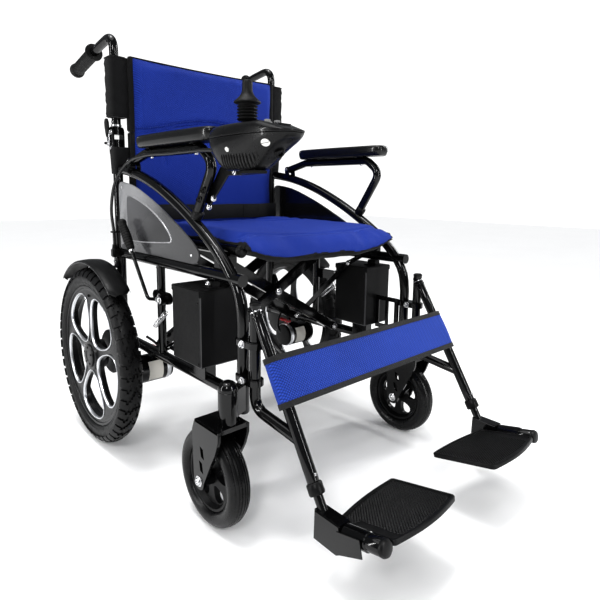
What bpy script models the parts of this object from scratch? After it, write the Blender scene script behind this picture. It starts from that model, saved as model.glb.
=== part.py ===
"""Folding power wheelchair: two side frames joined by a double cross brace.

Metres, +Z up. The chair faces -Y and the user's right side is -X. The origin is under
the middle of the bounding box, on the floor.
"""

import itertools
import math

import bmesh
import bpy
from mathutils import Vector

# ---- driving dimensions -------------------------------------------------------------
Y_SHIFT = 0.0381  # moves the chair so that the box is centred on the origin
GAP = 0.0003  # running clearance between neighbouring pieces

TUBE_X = 0.231  # plane of the side frame tubes, each side
TUBE_R = 0.011
POST_Y = -0.2425  # front post
BACK_Y = 0.25  # back post
RAIL_Z = 0.435  # side rail under the seat
LOWER_Z = 0.23  # lower rail
ARC = [(0.25, 0.634), (0.15, 0.619), (0.06, 0.594), (-0.03, 0.557), (-0.11, 0.515),
       (-0.17, 0.476), (-0.215, 0.435), (-0.236, 0.4), (-0.2425, 0.36)]
BACK_HINGE_Z = 0.716
HANDLE_Z = 0.921
HANDLE_END_Y = 0.484
GRIP_R = 0.0155

WHEEL_R = 0.2035
WHEEL_X = 0.3055
WHEEL_Y = 0.23
WHEEL_W = 0.044
RIM_R = 0.1625
CASTER_R = 0.0885
CASTER_X = 0.2725
CASTER_Y = -0.213
CASTER_W = 0.042
STEM_Y = -0.256

BRACE_X = 0.205  # lower pivots and seat rails
BRACE_Z = 0.24
CROSS_Z = 0.36
SEAT_RAIL_Z = 0.48
SEAT_RAIL_Y = (-0.205, 0.2)
BAR_A_Y = ((-0.060, -0.046), (0.096, 0.110))
BAR_B_Y = ((-0.0445, -0.0305), (0.1115, 0.1255))
BAR_W = 0.024

BOX_X = (0.181, 0.27)
BOX_Y = (-0.168, -0.068)
BOX_Z = (0.268, 0.409)

HANGER_Y = -0.2765
HANGER_R = 0.0095
LEG_TOP = (-0.2765, 0.392)
LEG_DOWN = Vector((0.0, -0.516, -0.8566))  # direction of the leg tube, downwards
LEG_LENGTH = 0.294
FOOT_AXIS_Z = 0.108
FOOT_PITCH = math.radians(12.5)

ARM_R = 0.0095
ARM_Z = 0.6615
ARM_PIVOT = (0.165, 0.6455)
STICK = (-0.256, -0.289)  # x, y of the joystick
CASE_Y = STICK[1] - 0.018  # middle of the controller case
CABLE_R = 0.0035
CABLE_EXIT = (-0.256, -0.197, 0.652)  # where the cable leaves its gland
CABLE_END = (-0.2485, 0.244, 0.4468)  # where it enters the boss on the frame


# ---- small helpers ------------------------------------------------------------------
def clear_scene():
    for obj in list(bpy.data.objects):
        bpy.data.objects.remove(obj)


def material(name, colour, roughness, metallic=0.0):
    mat = bpy.data.materials.new(name)
    mat.use_nodes = True
    shader = mat.node_tree.nodes["Principled BSDF"]
    shader.inputs["Base Color"].default_value = (*colour, 1.0)
    shader.inputs["Roughness"].default_value = roughness
    shader.inputs["Metallic"].default_value = metallic
    mat.diffuse_color = (*colour, 1.0)
    return mat


def solid(bm):
    """A temporary object from a bmesh, with its faces turned outwards."""
    bmesh.ops.recalc_face_normals(bm, faces=bm.faces)
    mesh = bpy.data.meshes.new("temp")
    bm.to_mesh(mesh)
    bm.free()
    obj = bpy.data.objects.new("temp", mesh)
    bpy.context.scene.collection.objects.link(obj)
    return obj


def box(lo, hi, bevel=0.0, segments=2):
    bm = bmesh.new()
    bmesh.ops.create_cube(bm, size=1.0)
    for v in bm.verts:
        for i in range(3):
            low, high = min(lo[i], hi[i]), max(lo[i], hi[i])
            v.co[i] = low if v.co[i] < 0 else high
    if bevel:
        bmesh.ops.bevel(bm, geom=list(bm.edges), offset=bevel, segments=segments,
                        affect="EDGES", profile=0.5)
    return solid(bm)


def prism(outline, axis, low, high, bevel=0.0):
    """Extrudes a closed outline along an axis. For "x" the outline is (y, z), for "y" (x, z)
    and for "z" (x, y)."""
    place = {"x": lambda a, b, t: (t, a, b), "y": lambda a, b, t: (a, t, b),
             "z": lambda a, b, t: (a, b, t)}[axis]
    bm = bmesh.new()
    rings = [[bm.verts.new(place(a, b, t)) for a, b in outline] for t in (low, high)]
    bm.faces.new(rings[0])
    bm.faces.new(rings[1])
    n = len(outline)
    for i in range(n):
        j = (i + 1) % n
        bm.faces.new([rings[0][i], rings[0][j], rings[1][j], rings[1][i]])
    if bevel:
        rims = [e for e in bm.edges if (e.verts[0] in rings[0]) == (e.verts[1] in rings[0])]
        bmesh.ops.bevel(bm, geom=rims, offset=bevel, segments=1, affect="EDGES")
    return solid(bm)


def sweep(path, radius, sides=10):
    """A round bar along a path, closed at both ends. The radius may be one per point."""
    path = [Vector(p) for p in path]
    radii = radius if isinstance(radius, (list, tuple)) else [radius] * len(path)
    bm = bmesh.new()
    rings, up = [], None
    for i, point in enumerate(path):
        before = path[max(i - 1, 0)]
        after = path[min(i + 1, len(path) - 1)]
        along = (after - before).normalized()
        if up is None:
            up = along.orthogonal().normalized()
        up = (up - along * up.dot(along)).normalized()
        side = along.cross(up)
        rings.append([
            bm.verts.new(point + radii[i] * (math.cos(a) * up + math.sin(a) * side))
            for a in (2 * math.pi * (k + 0.5) / sides for k in range(sides))
        ])
    for a, b in zip(rings, rings[1:]):
        for k in range(sides):
            bm.faces.new([a[k], a[(k + 1) % sides], b[(k + 1) % sides], b[k]])
    bm.faces.new(rings[0])
    bm.faces.new(rings[-1])
    return solid(bm)


def rod(p0, p1, radius, sides=10):
    return sweep([p0, p1], radius, sides)


def rounded(points, radius, steps=4):
    """The path with each inner corner replaced by an arc of about this radius."""
    points = [Vector(p) for p in points]
    out = [points[0]]
    for before, corner, after in zip(points, points[1:], points[2:]):
        a, b = (before - corner), (after - corner)
        reach = min(radius * math.tan((math.pi - a.angle(b)) / 2), 0.49 * a.length,
                    0.49 * b.length)
        start, end = corner + a.normalized() * reach, corner + b.normalized() * reach
        for k in range(steps + 1):
            t = k / steps
            out.append((1 - t) ** 2 * start + 2 * t * (1 - t) * corner + t * t * end)
    out.append(points[-1])
    return out


def lathe(profile, centre, axis, sides=24, phase=0.5):
    """Turns a closed (radius, along) outline about an axis through the centre."""
    axis = Vector(axis).normalized()
    start = Vector((1, 0, 0)) if abs(axis.z) > 0.9 else Vector((0, 0, 1))
    u = (start - axis * start.dot(axis)).normalized()
    v = axis.cross(u)
    centre = Vector(centre)
    bm = bmesh.new()
    rings = []
    for radius, along in profile:
        middle = centre + axis * along
        if radius < 1e-6:
            rings.append([bm.verts.new(middle)])
            continue
        rings.append([
            bm.verts.new(middle + radius * (math.cos(a) * u + math.sin(a) * v))
            for a in (2 * math.pi * (k + phase) / sides for k in range(sides))
        ])
    on_axis = len(rings[0]) == 1
    pairs = list(zip(rings, rings[1:])) + ([] if on_axis else [(rings[-1], rings[0])])
    for a, b in pairs:
        for k in range(sides):
            j = (k + 1) % sides
            corners = [a[k % len(a)], a[j % len(a)], b[j % len(b)], b[k % len(b)]]
            face = list(dict.fromkeys(corners))
            if len(face) > 2:
                bm.faces.new(face)
    return solid(bm)


def apply_boolean(obj, tool, operation):
    modifier = obj.modifiers.new("Boolean", "BOOLEAN")
    modifier.operation = operation
    modifier.solver = "EXACT"
    modifier.object = tool
    bpy.context.view_layer.update()
    graph = bpy.context.evaluated_depsgraph_get()
    mesh = bpy.data.meshes.new_from_object(obj.evaluated_get(graph))
    obj.modifiers.clear()
    obj.data = mesh
    bpy.data.objects.remove(tool)


def node(name, parts, mat, cuts=(), origin=None, smooth=40):
    """Fuses the parts into one named body, cuts it, and puts its origin on the joint axis."""
    obj = parts[0]
    for part in parts[1:]:
        apply_boolean(obj, part, "UNION")
    for tool in cuts:
        apply_boolean(obj, tool, "DIFFERENCE")
    bm = bmesh.new()
    bm.from_mesh(obj.data)
    bmesh.ops.remove_doubles(bm, verts=bm.verts, dist=2e-6)
    bmesh.ops.dissolve_degenerate(bm, edges=bm.edges, dist=2e-6)
    bmesh.ops.dissolve_limit(bm, angle_limit=math.radians(0.2), verts=bm.verts, edges=bm.edges)
    bmesh.ops.triangulate(bm, faces=bm.faces)
    shift = Vector(origin or (0, 0, 0))
    bmesh.ops.translate(bm, verts=bm.verts, vec=-shift)
    bm.to_mesh(obj.data)
    bm.free()
    obj.location = shift + Vector((0, Y_SHIFT, 0))
    obj.name = obj.data.name = name
    obj.data.materials.clear()
    obj.data.materials.append(mat)
    obj.data.shade_smooth()
    obj.data.set_sharp_from_angle(angle=math.radians(smooth))
    return obj


def side_name(base, s):
    return f"{base}_{'left' if s > 0 else 'right'}"


def rounded_rect(x0, x1, y0, y1, r, steps=3):
    out = []
    for cx, cy, start in ((x1 - r, y1 - r, 0), (x0 + r, y1 - r, 90), (x0 + r, y0 + r, 180),
                          (x1 - r, y0 + r, 270)):
        for k in range(steps + 1):
            a = math.radians(start + 90 * k / steps)
            out.append((cx + r * math.cos(a), cy + r * math.sin(a)))
    return out


def disc(y, z, r, count=16):
    return [(y + r * math.cos(2 * math.pi * k / count), z + r * math.sin(2 * math.pi * k / count))
            for k in range(count)]


def slot_plate(a, b, r, steps=4):
    """The outline of a flat link with round ends at a and b."""
    a, b = Vector(a), Vector(b)
    heading = math.atan2((b - a).y, (b - a).x)
    out = []
    for end, start in ((b, heading - math.pi / 2), (a, heading + math.pi / 2)):
        for k in range(steps + 1):
            t = start + math.pi * k / steps
            out.append((end.x + r * math.cos(t), end.y + r * math.sin(t)))
    return out


# ---- side frames --------------------------------------------------------------------
def arc_path(x):
    return [(x, y, z) for y, z in ARC]


def caster_barrel(s):
    x = s * CASTER_X
    profile = [(0, 0.275), (0.01, 0.2725), (0.0165, 0.264), (0.0165, 0.202), (0, 0.202)]
    return lathe(profile, (x, STEM_Y, 0), (0, 0, 1), 12)


def side_frame(s, mat):
    x = s * TUBE_X
    back = BACK_Y
    parts = [
        sweep(arc_path(x) + [(x, POST_Y, 0.2)], TUBE_R - 0.0003, 10),
        sweep([(x, back, 0.219), (x, back, 0.699)], TUBE_R, 10),
        sweep([(x, POST_Y, RAIL_Z), (x, back, RAIL_Z)], TUBE_R - 0.0001, 10),
        sweep([(x, POST_Y, LOWER_Z), (x, back, LOWER_Z)], TUBE_R - 0.0001, 10),
        sweep([(x, 0.05, LOWER_Z), (x, 0.05, RAIL_Z)], 0.009, 8),
        caster_barrel(s),
        # plate that ties the caster barrel to the front post
        prism([(s * 0.226, -0.236), (s * 0.2275, -0.2505), (s * 0.268, -0.268),
               (s * 0.277, -0.244)], "z", 0.209, 0.258),
        # motor mounting plate
        prism([(0.262, 0.225), (0.262, 0.335), (0.235, 0.335), (0.182, 0.245), (0.182, 0.225)],
              "x", s * 0.2365, s * 0.2435),
        # battery saddle on the lower rail
        box((s * 0.219, -0.14, 0.232), (s * 0.243, -0.095, BOX_Z[0] - GAP)),
        # diagonal stay on the inner face, with its two end lugs
        prism(slot_plate((-0.115, 0.4165), (0.066, 0.25), 0.0065), "x", s * 0.1745, s * 0.1785),
        rod((s * 0.1765, -0.115, 0.4165), (s * 0.226, -0.115, 0.431), 0.0055, 8),
        rod((s * 0.1765, 0.066, 0.25), (s * 0.228, 0.066, LOWER_Z + 0.004), 0.006, 8),
        # bracket and pin of the parking brake
        prism(slot_plate((0.0, 0.365), (0.05, 0.365), 0.012), "x", s * 0.2375, s * 0.2455),
        rod((s * 0.24, 0.0, 0.365), (s * 0.2625, 0.0, 0.365), 0.0045, 10),
    ]
    # rests for the seat rail
    for y in (-0.16, 0.16):
        parts.append(box((s * 0.192, y - 0.012, 0.437),
                         (s * 0.2275, y + 0.012, SEAT_RAIL_Z - TUBE_R - 2 * GAP)))
    # cross brace pivot rod and its lugs
    bars = BAR_A_Y if s < 0 else BAR_B_Y
    parts.append(rod((s * BRACE_X, bars[0][0] - 0.003, BRACE_Z),
                     (s * BRACE_X, bars[1][1] + 0.003, BRACE_Z), 0.005, 10))
    for y in (-0.024, 0.082):
        parts.append(prism(slot_plate((s * BRACE_X, BRACE_Z), (s * 0.229, 0.232), 0.0095), "y",
                           y, y + 0.006))
    # hinge rings for the legrest hanger
    for z in (0.2685, 0.3325):
        parts.append(prism(slot_plate((x, POST_Y - 0.002), (x, HANGER_Y), 0.0145), "z",
                           z - 0.006, z + 0.006))
    # cheeks and pin of the backrest hinge
    for side in (-1, 1):
        inner = x + side * 0.0103
        parts.append(prism(slot_plate((back, 0.672), (back, BACK_HINGE_Z), 0.012), "x",
                           inner, inner + side * 0.0035))
    parts.append(rod((x - 0.0142, back, BACK_HINGE_Z), (x + 0.0142, back, BACK_HINGE_Z), 0.004, 12))
    # cheeks and pin of the armrest hinge
    y, z = ARM_PIVOT
    for side in (-1, 1):
        inner = x + side * (ARM_R + GAP)
        parts.append(prism(slot_plate((y - 0.002, z - 0.017), (y, z), 0.008), "x",
                           inner - side * 0.0002, inner + side * 0.0025))
    parts.append(rod((x - 0.013, y, z), (x + 0.013, y, z), 0.0035, 12))
    if s < 0:  # boss where the controller's cable enters the frame
        parts.append(box((-0.2555, 0.236, 0.4255), (-0.238, 0.2525, CABLE_END[2] - GAP)))
    # pin of the backrest latch
    parts.append(rod((x + s * 0.011, 0.257, 0.69), (x + s * 0.026, 0.257, 0.69), 0.003, 8))
    cuts = [
        rod((x, HANGER_Y, 0.24), (x, HANGER_Y, 0.36), HANGER_R + GAP, 16),
        rod((s * CASTER_X, STEM_Y, 0.19), (s * CASTER_X, STEM_Y, 0.262), 0.0067, 12),
    ]
    return node(side_name("side_frame", s), parts, mat, cuts)


def side_panel(s, mat):
    base = RAIL_Z + TUBE_R + GAP
    outline = [(0.2385, base + 0.004), (0.2385, 0.588), (0.232, 0.6), (0.215, 0.602),
               (0.16, 0.594), (0.1, 0.575), (0.04, 0.552), (-0.02, 0.525), (-0.07, 0.5),
               (-0.108, 0.476), (-0.113, 0.466), (-0.108, base + 0.002), (-0.09, base),
               (0.23, base)]
    x = s * 0.2345
    plate = prism(outline, "x", x - 0.002, x + 0.002, 0.0008)
    inner = [(0.205, 0.475), (0.205, 0.565), (0.19, 0.572), (0.14, 0.562), (0.06, 0.532),
             (-0.03, 0.492), (-0.062, 0.472), (-0.055, 0.464), (0.195, 0.464)]
    raised = prism(inner, "x", s * 0.2345, s * 0.2385, 0.0008)
    return node(side_name("side_panel", s), [plate, raised], mat)


def battery_box(s, mat):
    body = box((s * BOX_X[0], BOX_Y[0], BOX_Z[0]), (s * BOX_X[1], BOX_Y[1], BOX_Z[1]), 0.004, 2)
    lug = box((s * 0.222, -0.16, BOX_Z[1] - 0.004), (s * 0.24, -0.136, RAIL_Z - TUBE_R - GAP))
    return node(side_name("battery_box", s), [body, lug], mat)


def drive_motor(s, mat):
    x, y, z = s * WHEEL_X, WHEEL_Y, WHEEL_R
    gearbox = lathe([(0, -0.0275), (0.048, -0.0275), (0.052, -0.031), (0.052, -0.056),
                     (0.046, -0.0615), (0, -0.0615)], (x, y, z), (s, 0, 0), 16)
    my, mz = 0.13, 0.18
    motor = lathe([(0, -0.033), (0.03, -0.033), (0.032, -0.036), (0.032, -0.122),
                   (0.029, -0.127), (0, -0.127)], (x, my, mz), (s, 0, 0), 16)
    joint = prism(slot_plate((my, mz), (y, z), 0.026), "x", s * 0.25, s * 0.272)
    shaft = rod((x - s * 0.04, y, z), (x + s * 0.015, y, z), 0.008, 12)
    pin = rod((s * 0.2, my, mz + 0.028), (s * 0.2, my, mz + 0.041), 0.004, 10)
    return node(side_name("drive_motor", s), [gearbox, motor, joint, shaft, pin], mat)


def clutch_lever(s, mat):
    y, z = 0.13, 0.18 + 0.0345
    hub = prism(disc(s * 0.2, y, 0.008), "z", z, z + 0.006)
    arm = prism(slot_plate((s * 0.2, y), (s * 0.2, y + 0.036), 0.0055), "z", z + 0.0005, z + 0.0055)
    bore = rod((s * 0.2, y, z - 0.01), (s * 0.2, y, z + 0.01), 0.004 + GAP, 12)
    return node(side_name("clutch_lever", s), [hub, arm], mat, [bore], origin=(s * 0.2, y, z))


def mudguard(s, mat):
    inner, outer = 0.2195, 0.2215
    angles = [math.radians(46 + 86 * k / 14) for k in range(15)]
    arc = [(WHEEL_Y + outer * math.cos(a), WHEEL_R + outer * math.sin(a)) for a in angles]
    arc += [(WHEEL_Y + inner * math.cos(a), WHEEL_R + inner * math.sin(a))
            for a in reversed(angles)]
    shell = prism(arc, "x", s * 0.281, s * 0.328)
    tab = box((s * (TUBE_X + TUBE_R + GAP), 0.24, 0.4), (s * 0.285, 0.256, 0.4235))
    return node(side_name("mudguard", s), [shell, tab], mat)


# ---- cross brace and seat -----------------------------------------------------------
def brace(letter, mat):
    """Brace a runs from the lower right to the upper left, brace b the other way."""
    up = 1 if letter == "a" else -1
    low, high = (-up * BRACE_X, BRACE_Z), (up * BRACE_X, SEAT_RAIL_Z)
    bars = BAR_A_Y if letter == "a" else BAR_B_Y
    parts = [rod((high[0], SEAT_RAIL_Y[0], high[1]), (high[0], SEAT_RAIL_Y[1], high[1]),
                 TUBE_R, 12)]
    cuts = []
    for index, (y0, y1) in enumerate(bars):
        parts.append(prism(slot_plate(low, high, BAR_W / 2, 4), "y", y0, y1))
        cuts.append(rod((low[0], y0 - 0.004, low[1]), (low[0], y1 + 0.004, low[1]),
                        0.005 + GAP, 12))
        if letter == "a":
            other = BAR_B_Y[index]
            near, far = (y0 - 0.005, other[1] + 0.005)
            parts.append(rod((0, near, CROSS_Z), (0, far, CROSS_Z), 0.005, 12))
            parts.append(rod((0, near, CROSS_Z), (0, y0 + 0.002, CROSS_Z), 0.011, 14))
        else:
            cuts.append(rod((0, y0 - 0.004, CROSS_Z), (0, y1 + 0.004, CROSS_Z),
                            0.005 + GAP, 12))
    # the end plug of the seat rail
    parts.append(lathe([(0, -0.004), (0.008, -0.003), (0.0115, 0.0), (0.0115, 0.006), (0, 0.006)],
                       (high[0], SEAT_RAIL_Y[0], high[1]), (0, 1, 0), 12))
    origin = (low[0], 0, low[1]) if letter == "a" else (0, 0, CROSS_Z)
    return node(f"cross_brace_{letter}", parts, mat, cuts, origin=origin)


def seat_cushion(mat):
    over = SEAT_RAIL_Z + BAR_W / 2 + GAP
    section = [(-0.208, over), (-0.19, over), (-0.17, 0.4785), (-0.14, 0.467), (-0.1, 0.462),
               (0.1, 0.462), (0.14, 0.467), (0.17, 0.4785), (0.19, over), (0.208, over),
               (0.208, 0.504), (0.19, 0.509), (0.1, 0.501), (0, 0.498), (-0.1, 0.501),
               (-0.19, 0.509), (-0.208, 0.504)]
    slab = prism(section, "y", -0.222, 0.208, 0.003)
    return node("seat_cushion", [slab], mat, origin=(-BRACE_X, 0, SEAT_RAIL_Z))


# ---- wheels -------------------------------------------------------------------------
def tyre_profile(inner, outer, width):
    w = width / 2
    depth = outer - inner
    return [(inner, -0.7 * w), (inner + 0.45 * depth, -w), (inner + 0.85 * depth, -0.8 * w),
            (outer, -0.4 * w), (outer, 0.4 * w), (inner + 0.85 * depth, 0.8 * w),
            (inner + 0.45 * depth, w), (inner, 0.7 * w)]


def opening(angle, inner, outer, half_width, swell=0.3, count=10):
    """The egg-shaped outline of an opening between two spokes, as (y, z) from the hub."""
    middle, reach = (inner + outer) / 2, (outer - inner) / 2
    points = []
    for k in range(count):
        t = 2 * math.pi * k / count
        along = middle + reach * math.cos(t)
        across = half_width * math.sin(t) * (1 + swell * math.cos(t))
        points.append((along * math.cos(angle) - across * math.sin(angle),
                       along * math.sin(angle) + across * math.cos(angle)))
    return points


def rear_wheel(s, rubber, alloy):
    centre = (s * WHEEL_X, WHEEL_Y, WHEEL_R)
    tyre = lathe(tyre_profile(RIM_R + GAP, WHEEL_R, WHEEL_W), centre, (s, 0, 0), 28, 0)
    node(side_name("rear_tyre", s), [tyre], rubber, origin=centre)
    profile = [(0, -0.0155), (0.03, -0.0155), (0.034, -0.002), (0.146, 0.0), (0.149, -0.0155),
               (RIM_R, -0.0155), (RIM_R, 0.0155), (0.149, 0.0155), (0.045, 0.0155),
               (0.034, 0.022), (0, 0.022)]
    disc_body = lathe(profile, centre, (s, 0, 0), 28, 0)
    cuts = [rod((centre[0] - s * 0.03, WHEEL_Y, WHEEL_R), (centre[0] + s * 0.0155, WHEEL_Y, WHEEL_R),
                0.008 + GAP, 12)]
    for k in range(5):
        shape = opening(math.radians(270 + 72 * k), 0.04, 0.148, 0.05, 0.35, 12)
        shape = [(WHEEL_Y + a, WHEEL_R + b) for a, b in shape]
        cuts.append(prism(shape, "x", centre[0] - 0.03, centre[0] + 0.03))
    node(side_name("rear_rim", s), [disc_body], alloy, cuts, origin=centre)


def caster(s, painted, rubber, rim_mat):
    x = s * CASTER_X
    centre = (x, CASTER_Y, CASTER_R)
    tyre = lathe(tyre_profile(0.06 + GAP, CASTER_R, CASTER_W), centre, (1, 0, 0), 20, 0)
    node(side_name("caster_tyre", s), [tyre], rubber, origin=centre)
    profile = [(0, -0.024), (0.012, -0.024), (0.0125, -0.006), (0.051, -0.005),
               (0.053, -0.0135), (0.06, -0.0135), (0.06, 0.0135), (0.053, 0.0135),
               (0.051, 0.005), (0.0125, 0.006), (0.012, 0.024), (0, 0.024)]
    body = lathe(profile, centre, (1, 0, 0), 20, 0)
    cuts = [rod((x - 0.03, CASTER_Y, CASTER_R), (x + 0.03, CASTER_Y, CASTER_R), 0.005 + GAP, 12)]
    for k in range(5):
        shape = opening(math.radians(90 + 72 * k), 0.018, 0.048, 0.012, 0.45, 6)
        shape = [(CASTER_Y + a, CASTER_R + b) for a, b in shape]
        cuts.append(prism(shape, "x", x - 0.01, x + 0.01))
    node(side_name("caster_rim", s), [body], rim_mat, cuts, origin=centre)

    top = 0.1995
    parts = [prism([(x - 0.0315, STEM_Y - 0.018), (x + 0.0315, STEM_Y - 0.018),
                    (x + 0.0315, CASTER_Y + 0.012), (x - 0.0315, CASTER_Y + 0.012)],
                   "z", top - 0.007, top, 0.0015)]
    for side in (-1, 1):
        inner = x + side * 0.0255
        leg = [(STEM_Y - 0.018, top - 0.001), (CASTER_Y + 0.012, top - 0.001),
               (CASTER_Y + 0.02, 0.16), (CASTER_Y + 0.0155, CASTER_R), (CASTER_Y + 0.008, 0.074),
               (CASTER_Y - 0.008, 0.074), (CASTER_Y - 0.0155, CASTER_R), (STEM_Y - 0.008, 0.155)]
        parts.append(prism(leg, "x", inner, inner + side * 0.006))
    parts.append(rod((x - 0.0355, CASTER_Y, CASTER_R), (x + 0.0355, CASTER_Y, CASTER_R),
                     0.005, 12))
    for side in (-1, 1):
        parts.append(rod((x + side * 0.031, CASTER_Y, CASTER_R),
                         (x + side * 0.0365, CASTER_Y, CASTER_R), 0.009, 12))
    parts.append(rod((x, STEM_Y, top - 0.003), (x, STEM_Y, 0.258), 0.006, 14))
    node(side_name("caster_fork", s), parts, painted, origin=(x, STEM_Y, top))


# ---- backrest -----------------------------------------------------------------------
def back_post(s, mat):
    x = s * TUBE_X
    path = rounded([(x, BACK_Y, BACK_HINGE_Z - 0.0068), (x, BACK_Y, HANDLE_Z + 0.012),
                    (x, 0.33, HANDLE_Z), (x, HANDLE_END_Y, HANDLE_Z - 0.031)], 0.05, 4)
    bore = rod((x - 0.02, BACK_Y, BACK_HINGE_Z), (x + 0.02, BACK_Y, BACK_HINGE_Z),
               0.004 + GAP, 12)
    return node(side_name("back_post", s), [sweep(path, 0.010, 10)], mat, [bore],
                origin=(x, BACK_Y, BACK_HINGE_Z))


def push_grip(s, mat):
    """The grip slides over the end of the handle, so it is bored for the tube."""
    x = s * TUBE_X
    end = Vector((x, HANDLE_END_Y, HANDLE_Z - 0.031))
    along = (end - Vector((x, 0.33, HANDLE_Z))).normalized()
    start = end - along * 0.105
    grip = lathe([(0, 0), (0.0135, 0), (GRIP_R, 0.004), (GRIP_R, 0.098), (0.018, 0.102),
                  (0.018, 0.109), (0.014, 0.1125), (0, 0.1135)], start, along, 12)
    bore = rod(start - along * 0.01, end + along * GAP, 0.0105 + GAP, 10)
    return node(side_name("push_grip", s), [grip], mat, [bore],
                origin=(x, BACK_Y, BACK_HINGE_Z))


def latch(s, mat):
    x0, x1 = s * (TUBE_X + 0.0145), s * (TUBE_X + 0.0225)
    body = prism([(0.2515, 0.684), (0.2625, 0.684), (0.265, 0.7), (0.2685, 0.744),
                  (0.2575, 0.745), (0.2505, 0.7)], "x", x0, x1, 0.001)
    bore = rod((s * 0.24, 0.257, 0.69), (s * 0.27, 0.257, 0.69), 0.003 + GAP, 10)
    return node(side_name("back_latch", s), [body], mat, [bore],
                origin=(s * TUBE_X, 0.257, 0.69))


def back_upholstery(upper, lower):
    front, rear = 0.2135, BACK_Y - TUBE_R - 0.0015
    seam = [(0.244, 0.7165), (0.2, 0.7175), (0.14, 0.724), (0.07, 0.744), (0, 0.751),
            (-0.07, 0.744), (-0.14, 0.724), (-0.2, 0.7175), (-0.244, 0.7165)]
    top = [(-0.244, 0.878), (-0.235, 0.882), (0.235, 0.882), (0.244, 0.878)]
    lift = 0.0008
    upper_outline = [(x, z + lift) for x, z in seam] + top
    lower_outline = [(x, z - lift) for x, z in reversed(seam)] + [(0.212, 0.6905), (0.212, 0.5),
                                                                  (-0.212, 0.5), (-0.212, 0.6905)]
    node("back_upholstery_upper", [prism(upper_outline, "y", front, rear, 0.003)], upper,
         origin=(-TUBE_X, BACK_Y, BACK_HINGE_Z))
    node("back_upholstery_lower", [prism(lower_outline, "y", front, rear, 0.003)], lower)


def lap_belt(mat):
    band = prism(rounded_rect(-0.2165, 0.2165, 0.5125, 0.5505, 0.003, 1), "y", 0.2086, 0.213)
    return node("lap_belt", [band], mat)


# ---- armrests and controller --------------------------------------------------------
def armrest(s, painted, foam):
    x = s * TUBE_X
    y, z = ARM_PIVOT
    hoop = rounded([(x, y, z), (x, 0.098, ARM_Z), (x, -0.118, ARM_Z), (x, -0.157, 0.632),
                    (x, -0.094, 0.53)], 0.03, 2)
    clear = sweep(arc_path(x), TUBE_R + 2 * GAP, 10)
    pin = rod((x - 0.02, y, z), (x + 0.02, y, z), 0.0035 + GAP, 12)
    end = rod((x - 0.009, y, z), (x + 0.009, y, z), 0.0085, 12)
    foot = rod((x, -0.1035, 0.5445), (x, -0.0975, 0.536), 0.0115, 12)
    node(side_name("armrest_frame", s), [sweep(hoop, ARM_R, 10), end, foot], painted,
         [clear, pin], origin=(x, y, z))
    base = ARM_Z + ARM_R + GAP
    pad = prism(rounded_rect(x - 0.027, x + 0.027, -0.17, 0.112, 0.02, 4), "z", base,
                base + 0.024, 0.006)
    node(side_name("armrest_pad", s), [pad], foam, origin=(x, y, z))


def controller_profile(scale_x, scale_y, shift=0.0, count=20):
    """One outline of the controller case: a rounded box, blunt at the back and narrow in front."""
    out = []
    for k in range(count):
        t = 2 * math.pi * k / count
        c, q = math.cos(t), math.sin(t)
        side = math.copysign(abs(c) ** 0.6, c) * (1 - 0.16 * max(0.0, -q))
        along = math.copysign(abs(q) ** 0.75, q)
        out.append((STICK[0] + 0.0375 * scale_x * side, CASE_Y + shift + 0.095 * scale_y * along))
    return out


def loft(rings):
    """Closes a stack of outlines, each (points, height), into one body."""
    bm = bmesh.new()
    levels = [[bm.verts.new((x, y, z)) for x, y in points] for points, z in rings]
    for a, b in zip(levels, levels[1:]):
        for k in range(len(a)):
            j = (k + 1) % len(a)
            bm.faces.new([a[k], a[j], b[j], b[k]])
    bm.faces.new(levels[0])
    bm.faces.new(levels[-1])
    return solid(bm)


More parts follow.
